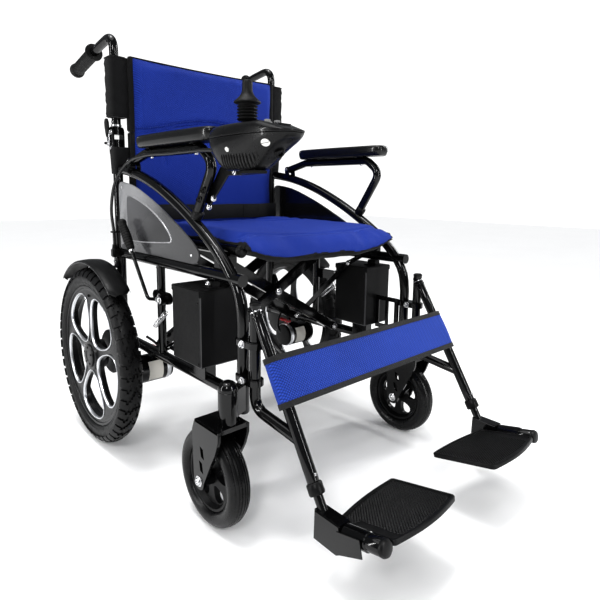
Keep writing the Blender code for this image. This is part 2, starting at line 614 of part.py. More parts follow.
def controller(case, cap, rubber, grey, metal):
    arm_origin = (-TUBE_X, *ARM_PIVOT)
    base = loft([(controller_profile(0.5, 0.42, 0.012), 0.6165),
                 (controller_profile(0.74, 0.62, 0.012), 0.627),
                 (controller_profile(0.93, 0.88, 0.006), 0.652),
                 (controller_profile(1.0, 0.985), 0.664), (controller_profile(1.0, 1.0), 0.672)])
    gland = lathe([(0, 0), (0.0085, 0), (0.0085, 0.022), (0.0055, 0.034), (0, 0.034)],
                  (CABLE_EXIT[0], CABLE_EXIT[1] - 0.034 - GAP, CABLE_EXIT[2]), (0, 1, 0), 12)
    node("controller_base", [base, gland], case, origin=arm_origin)
    top = loft([(controller_profile(1.0, 1.0), 0.672 + GAP),
                (controller_profile(1.0, 1.0), 0.676), (controller_profile(0.94, 0.96), 0.684),
                (controller_profile(0.8, 0.86), 0.6895)])
    collar = lathe([(0, 0.68), (0.027, 0.68), (0.026, 0.691), (0.021, 0.696), (0, 0.696)],
                   (*STICK, 0), (0, 0, 1), 16)
    well = rod((*STICK, 0.6795), (*STICK, 0.70), 0.0165, 16)
    cuts = [well]
    for x, y in button_places():
        cuts.append(rod((x, y, 0.6845), (x, y, 0.70), 0.0047 + GAP, 10))
    node("controller_cover", [top, collar], cap, cuts, origin=arm_origin)

    # the stick rocks in a ring, and the ring rocks in the cover
    z = 0.6875
    ring = lathe([(0.0085, -0.0035), (0.0155, -0.0035), (0.0155, 0.0035), (0.0085, 0.0035)],
                 (*STICK, z), (0, 0, 1), 14)
    node("joystick_gimbal", [ring], metal, origin=(*STICK, z))
    stick = lathe([(0, -0.006), (0.006, -0.006), (0.0065, 0.0), (0.0065, 0.0135),
                   (0.0155, 0.0155), (0.0125, 0.0185), (0.0155, 0.022), (0.0125, 0.026),
                   (0.0155, 0.0295), (0.0195, 0.033), (0.0195, 0.036), (0.012, 0.043),
                   (0.0075, 0.048), (0.007, 0.066), (0.0055, 0.0685), (0, 0.069)],
                  (*STICK, z), (0, 0, 1), 12)
    node("joystick", [stick], rubber, origin=(*STICK, z))
    for name, (x, y) in zip(BUTTONS, button_places()):
        button = lathe([(0, 0.686), (0.0047, 0.686), (0.0047, 0.6915), (0.0035, 0.6925),
                        (0, 0.6925)], (x, y, 0), (0, 0, 1), 10)
        node(name, [button], grey, origin=(x, y, 0.6925))

    # flat bracket from the armrest leg to the underside of the case
    x0, x1 = -TUBE_X + ARM_R + GAP, -TUBE_X + ARM_R + GAP + 0.0035
    outline = [(-0.109, 0.5655), (-0.127, 0.557), (-0.186, 0.6115), (-0.245, 0.6115),
               (-0.245, 0.6225), (-0.163, 0.6275)]
    plate = prism(outline, "x", x0, x1)
    shelf = prism([(x0 + 0.001, -0.228), (x0 + 0.001, -0.2445), (-0.25, -0.33), (-0.272, -0.33),
                   (-0.272, -0.29)], "z", 0.6116, 0.6165 - GAP)
    node("controller_bracket", [plate, shelf], metal, origin=arm_origin)


BUTTONS = ("button_power", "button_horn", "button_slower", "button_faster")


def button_places():
    x, y = STICK[0], STICK[1] - 0.05
    return [(x + dx, y + dy) for dx, dy in ((-0.009, 0.009), (0.009, 0.009), (-0.009, -0.009),
                                            (0.009, -0.009))]


def smooth_route(points, spacing):
    """Evenly spaced points on a smooth curve (Catmull-Rom) through the route's own points."""
    points = [Vector(p) for p in points]
    ends = [2 * points[0] - points[1]] + points + [2 * points[-1] - points[-2]]
    fine = [points[0]]
    for p0, p1, p2, p3 in zip(ends, ends[1:], ends[2:], ends[3:]):
        for k in range(1, 13):
            t = k / 12
            fine.append(0.5 * (2 * p1 + (p2 - p0) * t + (2 * p0 - 5 * p1 + 4 * p2 - p3) * t * t
                               + (3 * p1 - p0 - 3 * p2 + p3) * t ** 3))
    out = [fine[0]]
    for point in fine[1:-1]:
        if (point - out[-1]).length >= spacing and (point - fine[-1]).length > spacing / 2:
            out.append(point)
    return out + [fine[-1]]


def controller_cable(mat):
    """The free cable from the gland on the controller, along the arm, to the boss on the frame."""
    outside = -TUBE_X - 0.0165
    route = [CABLE_EXIT, (CABLE_EXIT[0], CABLE_EXIT[1] + 0.03, CABLE_EXIT[2] + 0.001),
             (outside, -0.12, 0.655), (outside, -0.02, 0.6545), (outside, 0.07, 0.655),
             (outside - 0.003, 0.15, 0.643), (outside - 0.007, 0.213, 0.6),
             (outside - 0.007, 0.24, 0.54), (CABLE_END[0], 0.246, 0.49),
             (CABLE_END[0], CABLE_END[1], CABLE_END[2] + 0.02), CABLE_END]
    curve = bpy.data.curves.new("controller_cable", "CURVE")
    curve.dimensions = "3D"
    curve.bevel_depth = CABLE_R
    curve.bevel_resolution = 2
    curve.use_fill_caps = True
    spline = curve.splines.new("POLY")
    points = smooth_route(route, 0.0165)
    spline.points.add(len(points) - 1)
    for slot, point in zip(spline.points, points):
        slot.co = (*point, 1.0)
    spline.use_smooth = True
    curve.materials.append(mat)
    obj = bpy.data.objects.new("controller_cable", curve)
    obj.location = (0, Y_SHIFT, 0)
    bpy.context.scene.collection.objects.link(obj)


# ---- legrests -----------------------------------------------------------------------
def leg_point(s, along):
    return Vector((s * TUBE_X, LEG_TOP[0], LEG_TOP[1])) + LEG_DOWN * along


def legrest(s, painted, metal, plate_mat):
    x = s * TUBE_X
    axis = (x, HANGER_Y, 0.24)
    leg_end = leg_point(s, LEG_LENGTH)
    parts = [
        sweep(rounded([(x, HANGER_Y, 0.4005), (x, HANGER_Y, 0.222), leg_point(s, 0.215)],
                      0.03, 3), HANGER_R, 10),
        rod(leg_point(s, -0.004), leg_end, 0.0098, 10),
        rod(leg_end - LEG_DOWN * 0.014, leg_end + LEG_DOWN * 0.002, 0.0125, 12),
    ]
    pin_at = leg_end - LEG_DOWN * 0.026
    ahead = Vector((0, -LEG_DOWN.z, LEG_DOWN.y)) * -1  # square to the tube, forwards
    cuts = [
        rod(leg_end - LEG_DOWN * 0.12, leg_end + LEG_DOWN * 0.01, 0.0075 + GAP, 14),
        rod(pin_at, pin_at + ahead * 0.02, 0.003 + GAP, 10),
    ]
    node(side_name("legrest_hanger", s), parts, painted, cuts, origin=axis)

    foot_y = leg_end.y - 0.0175
    start = hinge_point(s, 0.0)
    face = [start + hinge_normal() * up - hinge_axis() * GAP for up in (-0.027, 0.0185)]
    block = prism([(foot_y + 0.012, 0.122), (foot_y + 0.013, 0.074), (foot_y - 0.033, 0.072),
                   (face[0].y, face[0].z), (face[1].y, face[1].z)], "x", x - 0.0125, x + 0.0125,
                  0.0015)
    tube = rod(leg_end - LEG_DOWN * 0.085, leg_end + LEG_DOWN * 0.045, 0.0075, 14)
    pivot = rod(start - hinge_axis() * 0.02, start + hinge_axis() * 0.06, 0.0045, 12)
    node(side_name("foot_tube", s), [tube, block, pivot], painted, origin=leg_end)
    pin = rod(pin_at + ahead * 0.0079, pin_at + ahead * 0.0125, 0.0025, 10)
    node(side_name("height_pin", s), [pin], metal, origin=pin_at + ahead * 0.0125)
    footplate(s, plate_mat)


def hinge_axis():
    return Vector((0, -math.cos(FOOT_PITCH), math.sin(FOOT_PITCH)))


def hinge_normal():
    """Square to the footplate's hinge and upwards, which is also the way its top faces."""
    return Vector((0, math.sin(FOOT_PITCH), math.cos(FOOT_PITCH)))


def pitched_box(s, across, along, height):
    """A box in the footplate's own directions: sideways, forwards along the hinge, and up."""
    spots = []
    for x, a, h in itertools.product(across, along, height):
        spot = hinge_point(s, a) + hinge_normal() * h
        spots.append((s * x, spot.y, spot.z))
    bm = bmesh.new()
    bmesh.ops.convex_hull(bm, input=[bm.verts.new(spot) for spot in spots])
    return solid(bm)


def hinge_point(s, along):
    """A point on the footplate hinge, measured forwards from the face of the hinge block."""
    y = leg_point(s, LEG_LENGTH).y - 0.0175 - 0.042 - GAP
    return Vector((s * TUBE_X, y, FOOT_AXIS_Z)) + hinge_axis() * along


def footplate(s, mat):
    """A tray with bulged front and back edges, fused to the barrel that turns on the pin."""
    start = hinge_point(s, 0.001)
    barrel = rod(start, hinge_point(s, 0.068), 0.0115, 16)
    cap = rod(hinge_point(s, 0.067), hinge_point(s, 0.0735), 0.0098, 16)
    w0, w1, front = 0.062, 0.2175, 0.0745
    outline = []
    for k in range(7):
        t = k / 6
        outline.append((w0 + (w1 - w0) * t, front + 0.009 * math.sin(math.pi * t)))
    for k in range(7):
        t = k / 6
        outline.append((w1 - (w1 - w0) * t, -0.03 - 0.018 * t - 0.006 * math.sin(math.pi * t)))
    bm = bmesh.new()
    base = hinge_point(s, 0.0)

    def at(p, height):
        spot = base + hinge_axis() * p[1] + hinge_normal() * height
        return Vector((s * p[0], spot.y, spot.z))

    middle = ((w0 + w1) / 2, 0.017)
    inner = [(middle[0] + (a - middle[0]) * 0.95, middle[1] + (b - middle[1]) * 0.935)
             for a, b in outline]
    rings = [[bm.verts.new(at(p, h)) for p in ring]
             for ring, h in ((inner, -0.0035), (outline, -0.0035), (outline, 0.0055),
                             (inner, 0.0055), (inner, 0.0035))]
    for a, b in zip(rings, rings[1:]):
        for k in range(len(a)):
            j = (k + 1) % len(a)
            bm.faces.new([a[k], a[j], b[j], b[k]])
    bm.faces.new(rings[0])
    bm.faces.new(rings[-1])
    tray = solid(bm)
    arm = pitched_box(s, (0.2, 0.2225), (0.015, 0.055), (-0.0065, 0.0025))
    bore = rod(hinge_point(s, -0.01), hinge_point(s, 0.0605), 0.0045 + GAP, 12)
    notch = pitched_box(s, (0.205, 0.2192), (-0.06, 0.0005), (-0.02, 0.02))
    node(side_name("footplate", s), [tray, barrel, cap, arm], mat, [bore, notch],
         origin=hinge_point(s, 0.0))


def calf_strap(mat):
    """A band across the front of both leg tubes."""
    top, low = leg_point(1, 0.075), leg_point(1, 0.157)
    ahead = Vector((0, LEG_DOWN.z, -LEG_DOWN.y))
    near, far = 0.0098 + GAP, 0.0138 + GAP
    bm = bmesh.new()
    rings = []
    for point, out in ((top, near), (low, near), (low, far), (top, far)):
        spot = point + ahead * out
        rings.append([bm.verts.new((x, spot.y - bow, spot.z)) for x, bow in
                      ((-0.246, 0), (-0.1, 0), (0.1, 0), (0.246, 0))])
    for i in range(4):
        a, b = rings[i], rings[(i + 1) % 4]
        for k in range(3):
            bm.faces.new([a[k], a[k + 1], b[k + 1], b[k]])
    bm.faces.new([ring[0] for ring in rings])
    bm.faces.new([ring[-1] for ring in rings])
    return node("calf_strap", [solid(bm)], mat, origin=(-TUBE_X, HANGER_Y, 0.24))


# ---- parking brake ------------------------------------------------------------------
def brake_lever(s, mat):
    x = s * 0.256
    path = rounded([(x, 0.0, 0.365), (x, 0.062, 0.357), (x, 0.141, 0.46)], 0.018, 3)
    hub = prism(disc(0.0, 0.365, 0.0105, 14), "x", s * 0.2515, s * 0.2605)
    grip_a, grip_b = Vector((x, 0.136, 0.4535)), Vector((x, 0.1846, 0.517))
    grip = lathe([(0, 0), (0.007, 0.0), (0.0085, 0.004), (0.0095, 0.072), (0.006, 0.079),
                  (0, 0.08)], grip_a, grip_b - grip_a, 14)
    bore = rod((s * 0.24, 0, 0.365), (s * 0.27, 0, 0.365), 0.0045 + GAP, 12)
    return node(side_name("brake_lever", s), [sweep(path, 0.0038, 8), hub, grip], mat, [bore],
                origin=(x, 0.0, 0.365))


def main():
    clear_scene()
    paint = material("frame_paint", (0.012, 0.012, 0.013), 0.18)
    panel = material("panel_plastic", (0.16, 0.16, 0.165), 0.25)
    panel_dark = material("panel_plastic_black", (0.02, 0.02, 0.021), 0.3)
    box_mat = material("battery_case", (0.03, 0.03, 0.032), 0.55)
    motor_mat = material("motor_case", (0.02, 0.02, 0.021), 0.4)
    red = material("clutch_red", (0.6, 0.02, 0.03), 0.4)
    guard = material("mudguard_plastic", (0.03, 0.03, 0.03), 0.45)
    rubber = material("tyre_rubber", (0.025, 0.025, 0.026), 0.8)
    alloy = material("rim_alloy", (0.06, 0.06, 0.062), 0.35, 0.6)
    caster_plastic = material("caster_rim_plastic", (0.02, 0.02, 0.02), 0.45)
    mesh_blue = material("mesh_fabric", (0.035, 0.075, 0.38), 0.85)
    belt = material("webbing", (0.05, 0.05, 0.052), 0.8)
    foam = material("arm_foam", (0.02, 0.02, 0.02), 0.6)
    grip = material("grip_rubber", (0.02, 0.02, 0.02), 0.7)
    case = material("controller_plastic", (0.025, 0.025, 0.026), 0.45)
    grey = material("button_plastic", (0.3, 0.3, 0.3), 0.5)
    steel = material("zinc_steel", (0.6, 0.6, 0.6), 0.3, 1.0)
    cable = material("cable_jacket", (0.015, 0.015, 0.015), 0.4)
    tread = material("footplate_plastic", (0.03, 0.03, 0.03), 0.6)

    for s in (-1, 1):
        side_frame(s, paint)
        side_panel(s, panel if s < 0 else panel_dark)
        battery_box(s, box_mat)
        drive_motor(s, motor_mat)
        clutch_lever(s, red)
        mudguard(s, guard)
        rear_wheel(s, rubber, alloy)
        caster(s, paint, rubber, caster_plastic)
        back_post(s, paint)
        push_grip(s, grip)
        latch(s, case)
        armrest(s, paint, foam)
        legrest(s, paint, steel, tread)
        brake_lever(s, grip)
    brace("a", paint)
    brace("b", paint)
    seat_cushion(mesh_blue)
    back_upholstery(mesh_blue, mesh_blue)
    lap_belt(belt)
    controller(case, case, grip, grey, steel)
    controller_cable(cable)
    calf_strap(mesh_blue)


main()
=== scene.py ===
"""Looks for the folding power wheelchair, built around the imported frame.

Lengths are metres. Positions are the part's own, before the shift Y0 that centres its box;
every mesh is moved by Y0 when it becomes a piece. The user's right side is -X.
"""
from math import atan2, copysign, cos, exp, pi, radians, sin, sqrt, tan

import bmesh
import bpy
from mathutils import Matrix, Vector, kdtree
from mathutils.bvhtree import BVHTree


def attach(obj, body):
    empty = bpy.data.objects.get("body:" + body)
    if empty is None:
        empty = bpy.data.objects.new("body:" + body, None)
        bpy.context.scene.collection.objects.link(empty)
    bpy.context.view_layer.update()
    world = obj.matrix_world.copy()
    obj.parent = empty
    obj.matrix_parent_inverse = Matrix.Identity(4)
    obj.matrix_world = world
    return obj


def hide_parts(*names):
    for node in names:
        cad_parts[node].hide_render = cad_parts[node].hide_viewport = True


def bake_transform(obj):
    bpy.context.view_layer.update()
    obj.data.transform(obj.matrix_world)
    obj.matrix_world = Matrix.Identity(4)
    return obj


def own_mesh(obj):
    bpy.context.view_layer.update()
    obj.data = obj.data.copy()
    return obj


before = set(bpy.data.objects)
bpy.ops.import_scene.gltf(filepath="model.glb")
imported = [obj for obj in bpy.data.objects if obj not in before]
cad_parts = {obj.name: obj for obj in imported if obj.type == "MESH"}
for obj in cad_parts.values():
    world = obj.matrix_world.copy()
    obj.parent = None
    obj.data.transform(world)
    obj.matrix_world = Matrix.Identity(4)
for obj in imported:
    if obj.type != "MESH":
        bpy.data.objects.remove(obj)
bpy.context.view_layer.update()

Y0 = 0.0381

# ---- dimensions shared with the part ------------------------------------------------
TUBE_X, TUBE_R = 0.231, 0.011
POST_Y, BACK_Y = -0.2425, 0.25
RAIL_Z, LOWER_Z = 0.435, 0.23
ARC = [(0.25, 0.634), (0.15, 0.619), (0.06, 0.594), (-0.03, 0.557), (-0.11, 0.515),
       (-0.17, 0.476), (-0.215, 0.435), (-0.236, 0.4), (-0.2425, 0.36)]
BACK_HINGE_Z, HANDLE_Z, HANDLE_END_Y = 0.716, 0.921, 0.484
WHEEL_R, WHEEL_X, WHEEL_Y = 0.2035, 0.3055, 0.23
CASTER_R, CASTER_X, CASTER_Y, STEM_Y = 0.0885, 0.2725, -0.213, -0.256
BRACE_X, BRACE_Z, CROSS_Z, SEAT_RAIL_Z = 0.205, 0.24, 0.36, 0.48
SEAT_RAIL_Y = (-0.205, 0.2)
BAR_A_Y = ((-0.060, -0.046), (0.096, 0.110))
BAR_B_Y = ((-0.0445, -0.0305), (0.1115, 0.1255))
BOX_X, BOX_Y, BOX_Z = (0.181, 0.27), (-0.168, -0.068), (0.268, 0.409)
HANGER_Y, LEG_LENGTH = -0.2765, 0.294
LEG_TOP = (-0.2765, 0.392)
LEG_DOWN = Vector((0.0, -0.516, -0.8566))
FOOT_AXIS_Z, FOOT_PITCH = 0.108, radians(12.5)
ARM_R, ARM_Z = 0.0095, 0.6615
ARM_PIVOT = (0.165, 0.6455)
STICK, STICK_Z = (-0.256, -0.289), 0.6875
CASE_Y = STICK[1] - 0.018
BUTTONS = ("button_power", "button_horn", "button_slower", "button_faster")
CABLE_R = 0.0035
CABLE_EXIT = (-0.256, -0.197, 0.652)
CABLE_END = (-0.2485, 0.244, 0.4468)
UPHOLSTERY_Y = (0.2135, 0.2375)
HINGE_RING_Z = (0.2685, 0.3325)
STAY_TOP, STAY_FOOT = (-0.115, 0.4165), (0.066, 0.25)
BRAKE_Z = 0.365
MOTOR_Y, MOTOR_Z = 0.13, 0.18
GUARD_X, GUARD_R = 0.3045, 0.2199  # middle of the mudguard, and its radius from the hub
FORK_INSIDE, FORK_OUTSIDE, FORK_TOP = 0.0257, 0.0317, 0.1995
SPOKES, SPOKE_TURN = 5, 72
TREAD_STEPS, TREAD_LIFT = 192, 0.0035
PLATE_X = (0.062, 0.2175)

# ---- how the soft pieces are made ---------------------------------------------------
CLOTH_VOXEL, CLOTH_PRESSURE, CLOTH_FRAMES = 0.0055, 4.0, 20  # as in puff()
STRAP_WRAP_R, STRAP_WRAP_TURN = 0.0128, 200
STRAP_MESH, STRAP_HEMS = (0.088, 0.158), ((0.0815, 0.091), (0.155, 0.1645))
CONTROLLER_DROP = 0.006  # as in sunk()


# ---- camera and light ---------------------------------------------------------------
def make_camera():
    """The photograph's viewpoint: its framing, distance and slight roll."""
    data = bpy.data.cameras.new("camera")
    data.lens, data.sensor_width = 29.99, 36.0
    data.shift_x, data.shift_y = 0.00288, -0.06142
    cam = bpy.data.objects.new("camera", data)
    cam.location = (-0.7224, -0.9151 + Y0, 0.5869)
    cam.rotation_euler = [radians(a) for a in (81.7745, -0.7695, -42.4274)]
    bpy.context.scene.collection.objects.link(cam)
    bpy.context.scene.camera = cam


def area_light(name, place, target, size, power):
    data = bpy.data.lights.new(name, "AREA")
    data.shape = "RECTANGLE"
    data.size, data.size_y = size
    data.energy = power
    light = bpy.data.objects.new(name, data)
    light.location = place
    aim = Vector(target) - Vector(place)
    light.rotation_euler = aim.to_track_quat("-Z", "Y").to_euler()
    bpy.context.scene.collection.objects.link(light)


SUN_TILT = (radians(-6), radians(-8))
SKY_STRENGTH = 0.2  # for everything but the camera, which sees plain white


def make_studio():
    """Soft white studio: narrow area lights for the tubes, two suns for the floor shadow."""
    area_light("key", (-2.0, -1.7, 2.2), (0, 0, 0.45), (0.4, 0.7), 25)
    area_light("strip_left", (-2.3, 0.7, 1.0), (0, 0, 0.45), (0.09, 2.2), 26)
    area_light("strip_front", (0.5, -2.7, 1.2), (0, 0, 0.35), (0.1, 2.0), 28)
    area_light("fill_right", (2.3, -0.5, 1.5), (0, 0, 0.4), (0.15, 1.8), 26)
    for name, energy, width in (("overhead_soft", 1.40, 62), ("overhead_crisp", 0.95, 15)):
        data = bpy.data.lights.new(name, "SUN")
        data.energy, data.angle = energy, radians(width)
        overhead = bpy.data.objects.new(name, data)
        overhead.rotation_euler = (*SUN_TILT, 0)
        bpy.context.scene.collection.objects.link(overhead)
    world = bpy.data.worlds.new("studio")
    world.use_nodes = True
    tree = world.node_tree
    seen = tree.nodes["Background"]
    settings(seen, {"Color": (1, 1, 1, 1), "Strength": 1.0})
    lit = tree.nodes.new("ShaderNodeBackground")
    settings(lit, {"Color": (0.93, 0.96, 1.0, 1), "Strength": SKY_STRENGTH})
    rays = tree.nodes.new("ShaderNodeLightPath")
    mix = tree.nodes.new("ShaderNodeMixShader")
    tree.links.new(rays.outputs["Is Camera Ray"], mix.inputs[0])
    tree.links.new(lit.outputs[0], mix.inputs[1])
    tree.links.new(seen.outputs[0], mix.inputs[2])
    tree.links.new(mix.outputs[0], tree.nodes["World Output"].inputs["Surface"])
    bpy.context.scene.world = world
    bpy.context.scene.view_settings.view_transform = "Standard"
    bpy.context.scene.view_settings.look = "Medium High Contrast"
    bm = bmesh.new()
    bmesh.ops.create_grid(bm, x_segments=2, y_segments=2, size=9.0)
    mesh = bpy.data.meshes.new("floor")
    bm.to_mesh(mesh)
    bm.free()
    floor = bpy.data.objects.new("floor", mesh)
    bpy.context.scene.collection.objects.link(floor)
    mesh.materials.append(surface("studio_floor", (0.94, 0.94, 0.94), 0.6, vary=0.01,
        vary_scale=2.0, grain=300, bump=0.02))


# ---- materials ----------------------------------------------------------------------
def new_material(name):
    """A material with its node tree and its main shader."""
    mat = bpy.data.materials.new(name)
    mat.use_nodes = True
    tree = mat.node_tree
    return mat, tree, tree.nodes["Principled BSDF"]


def link(tree, a, b):
    tree.links.new(a, b)


def settings(node, values):
    """Sets plain values on a node's own sockets."""
    for socket, value in values.items():
        node.inputs[socket].default_value = value


def object_coords(tree):
    return tree.nodes.new("ShaderNodeTexCoord").outputs["Object"]


def noise(tree, coords, scale, detail=3.0, rough=0.55):
    """A cloudy value from 0 to 1."""
    node = tree.nodes.new("ShaderNodeTexNoise")
    settings(node, {"Scale": scale, "Detail": detail, "Roughness": rough})
    link(tree, coords, node.inputs["Vector"])
    return node.outputs["Fac"]


def ramp(tree, value, stops):
    """Colours by value, from (value, colour) stops."""
    node = tree.nodes.new("ShaderNodeValToRGB")
    spots = node.color_ramp.elements
    while len(spots) < len(stops):
        spots.new(0.5)
    for spot, (at, colour) in zip(spots, stops):
        spot.position = at
        spot.color = (*colour, 1)
    link(tree, value, node.inputs["Fac"])
    return node.outputs["Color"]


def remap(tree, value, low, high, start=0.3, end=0.7):
    """Stretches start to end over low to high."""
    node = tree.nodes.new("ShaderNodeMapRange")
    settings(node, {"From Min": start, "From Max": end, "To Min": low, "To Max": high})
    link(tree, value, node.inputs["Value"])
    return node.outputs["Result"]


def maths(tree, operation, a, b=None):
    node = tree.nodes.new("ShaderNodeMath")
    node.operation = operation
    for slot, value in zip(node.inputs, (a, b)):
        if value is None:
            continue
        if isinstance(value, (int, float)):
            slot.default_value = value
        else:
            link(tree, value, slot)
    return node.outputs[0]


def plus(tree, a, b):
    return maths(tree, "ADD", a, b)


def times(tree, a, b):
    return maths(tree, "MULTIPLY", a, b)


def bumped(tree, shader, height, strength, distance=0.0004):
    node = tree.nodes.new("ShaderNodeBump")
    settings(node, {"Strength": strength, "Distance": distance})
    link(tree, height, node.inputs["Height"])
    link(tree, node.outputs["Normal"], shader.inputs["Normal"])


def scaled(colour, k):
    """A lighter or darker shade."""
    return tuple(min(1.0, c * k) for c in colour)


def surface(name, colour, roughness, metallic=0.0, vary=0.2, vary_scale=25.0, rough_vary=0.05,
            grain=900.0, bump=0.08, coat=0.0, specular=0.5):
    """Paint, plastic, rubber or metal: uneven colour and roughness over a fine grain."""
    mat, tree, shader = new_material(name)
    coords = object_coords(tree)
    broad = noise(tree, coords, vary_scale, 5.0)
    link(tree, ramp(tree, broad, [(0.3, scaled(colour, 1 - vary)),
        (0.7, scaled(colour, 1 + vary))]), shader.inputs["Base Color"])
    scuff = noise(tree, coords, vary_scale * 4.3, 6.0, 0.7)
    link(tree, remap(tree, scuff, max(0.02, roughness - rough_vary), roughness + rough_vary),
         shader.inputs["Roughness"])
    bumped(tree, shader, noise(tree, coords, grain, 2.0), bump)
    settings(shader, {"Metallic": metallic, "Coat Weight": coat, "Coat Roughness": 0.06,
        "Specular IOR Level": specular})
    return mat


def air_mesh(name, colour, dark, pitch, depth, open_share=0.5):
    """Knitted spacer mesh: staggered holes on a diamond lattice, over fine yarn, with painted
    shade in the holes and lighter raised yarn.
    """
    mat, tree, shader = new_material(name)
    coords = object_coords(tree)
    split = tree.nodes.new("ShaderNodeSeparateXYZ")
    link(tree, coords, split.inputs[0])
    k = pi / pitch
    u = times(tree, split.outputs["X"], k)
    v = times(tree, plus(tree, split.outputs["Y"], split.outputs["Z"]), k * 0.8)
    holes = times(tree, maths(tree, "SINE", plus(tree, u, v)),
                  maths(tree, "SINE", maths(tree, "SUBTRACT", u, v)))
    yarn = noise(tree, coords, 2600.0, 2.0)
    broad = noise(tree, coords, 7.0, 3.0)
    height = plus(tree, maths(tree, "ABSOLUTE", holes), times(tree, yarn, 0.35))
    tone = plus(tree, times(tree, height, 0.75), times(tree, broad, 0.3))
    # colour follows the height: painted shade in the holes, lighter yarn on top, random blotches
    # besides
    link(tree, ramp(tree, tone, [(0.12, dark), (open_share, colour),
        (0.95, scaled(colour, 1.35))]), shader.inputs["Base Color"])
    link(tree, remap(tree, yarn, 0.7, 0.9), shader.inputs["Roughness"])
    bumped(tree, shader, height, depth, 0.0009)
    settings(shader, {"Sheen Weight": 0.06, "Sheen Roughness": 0.45,
        "Sheen Tint": (0.5, 0.62, 1.0, 1), "Specular IOR Level": 0.2})
    return mat


def woven(name, colour, ribs=620.0, cross=900.0, depth=0.6):
    """Tape or webbing: ribs across a fine twill, darkened between the ribs with painted shade."""
    mat, tree, shader = new_material(name)
    coords = object_coords(tree)
    split = tree.nodes.new("ShaderNodeSeparateXYZ")
    link(tree, coords, split.inputs[0])
    warp = maths(tree, "SINE", times(tree, split.outputs["Z"], ribs * 6.28))
    weft = maths(tree, "SINE", times(tree, plus(tree, split.outputs["X"], split.outputs["Z"]),
        cross * 6.28))
    yarn = noise(tree, coords, 1800.0, 2.0)
    height = plus(tree, times(tree, warp, 0.25), plus(tree, times(tree, weft, 0.2), yarn))
    broad = noise(tree, coords, 14.0, 3.0)
    # colour follows the weave's height: painted shade in its grooves, lighter rib tops, random
    # blotches besides
    tone = plus(tree, times(tree, height, 0.45), times(tree, broad, 0.4))
    link(tree, ramp(tree, tone, [(0.1, scaled(colour, 0.55)), (0.75, scaled(colour, 1.45))]),
         shader.inputs["Base Color"])
    link(tree, remap(tree, yarn, 0.67, 0.85), shader.inputs["Roughness"])
    bumped(tree, shader, height, depth, 0.0005)
    settings(shader, {"Sheen Weight": 0.05, "Specular IOR Level": 0.15})
    return mat


def panel_painted_reflection(name, light, dark, roughness, gloss=1.0):
    """Moulded panel with a painted reflection: lighter at the top rear, darker towards the front.
    """
    mat, tree, shader = new_material(name)
    coords = object_coords(tree)
    split = tree.nodes.new("ShaderNodeSeparateXYZ")
    link(tree, coords, split.inputs[0])
    # painted reflection: the colour brightens with height and towards the rear
    reflection_fade = maths(tree, "SUBTRACT", times(tree, split.outputs["Y"], 1.5),
                 times(tree, split.outputs["Z"], -2.6))
    cloud = noise(tree, coords, 9.0, 3.0)
    reflection_fade = plus(tree, reflection_fade, times(tree, cloud, 0.12))
    at = remap(tree, reflection_fade, 0.0, 1.0, 1.18, 1.86)
    link(tree, ramp(tree, at, [(0.0, dark), (0.45, scaled(dark, 1.7)), (1.0, light)]),
         shader.inputs["Base Color"])
    fleck = noise(tree, coords, 1500.0, 2.0)
    link(tree, remap(tree, fleck, roughness - 0.05, roughness + 0.08), shader.inputs["Roughness"])
    bumped(tree, shader, fleck, 0.04)
    settings(shader, {"Metallic": 0.35 * gloss, "Coat Weight": 0.6 * gloss,
        "Coat Roughness": 0.08})
    return mat


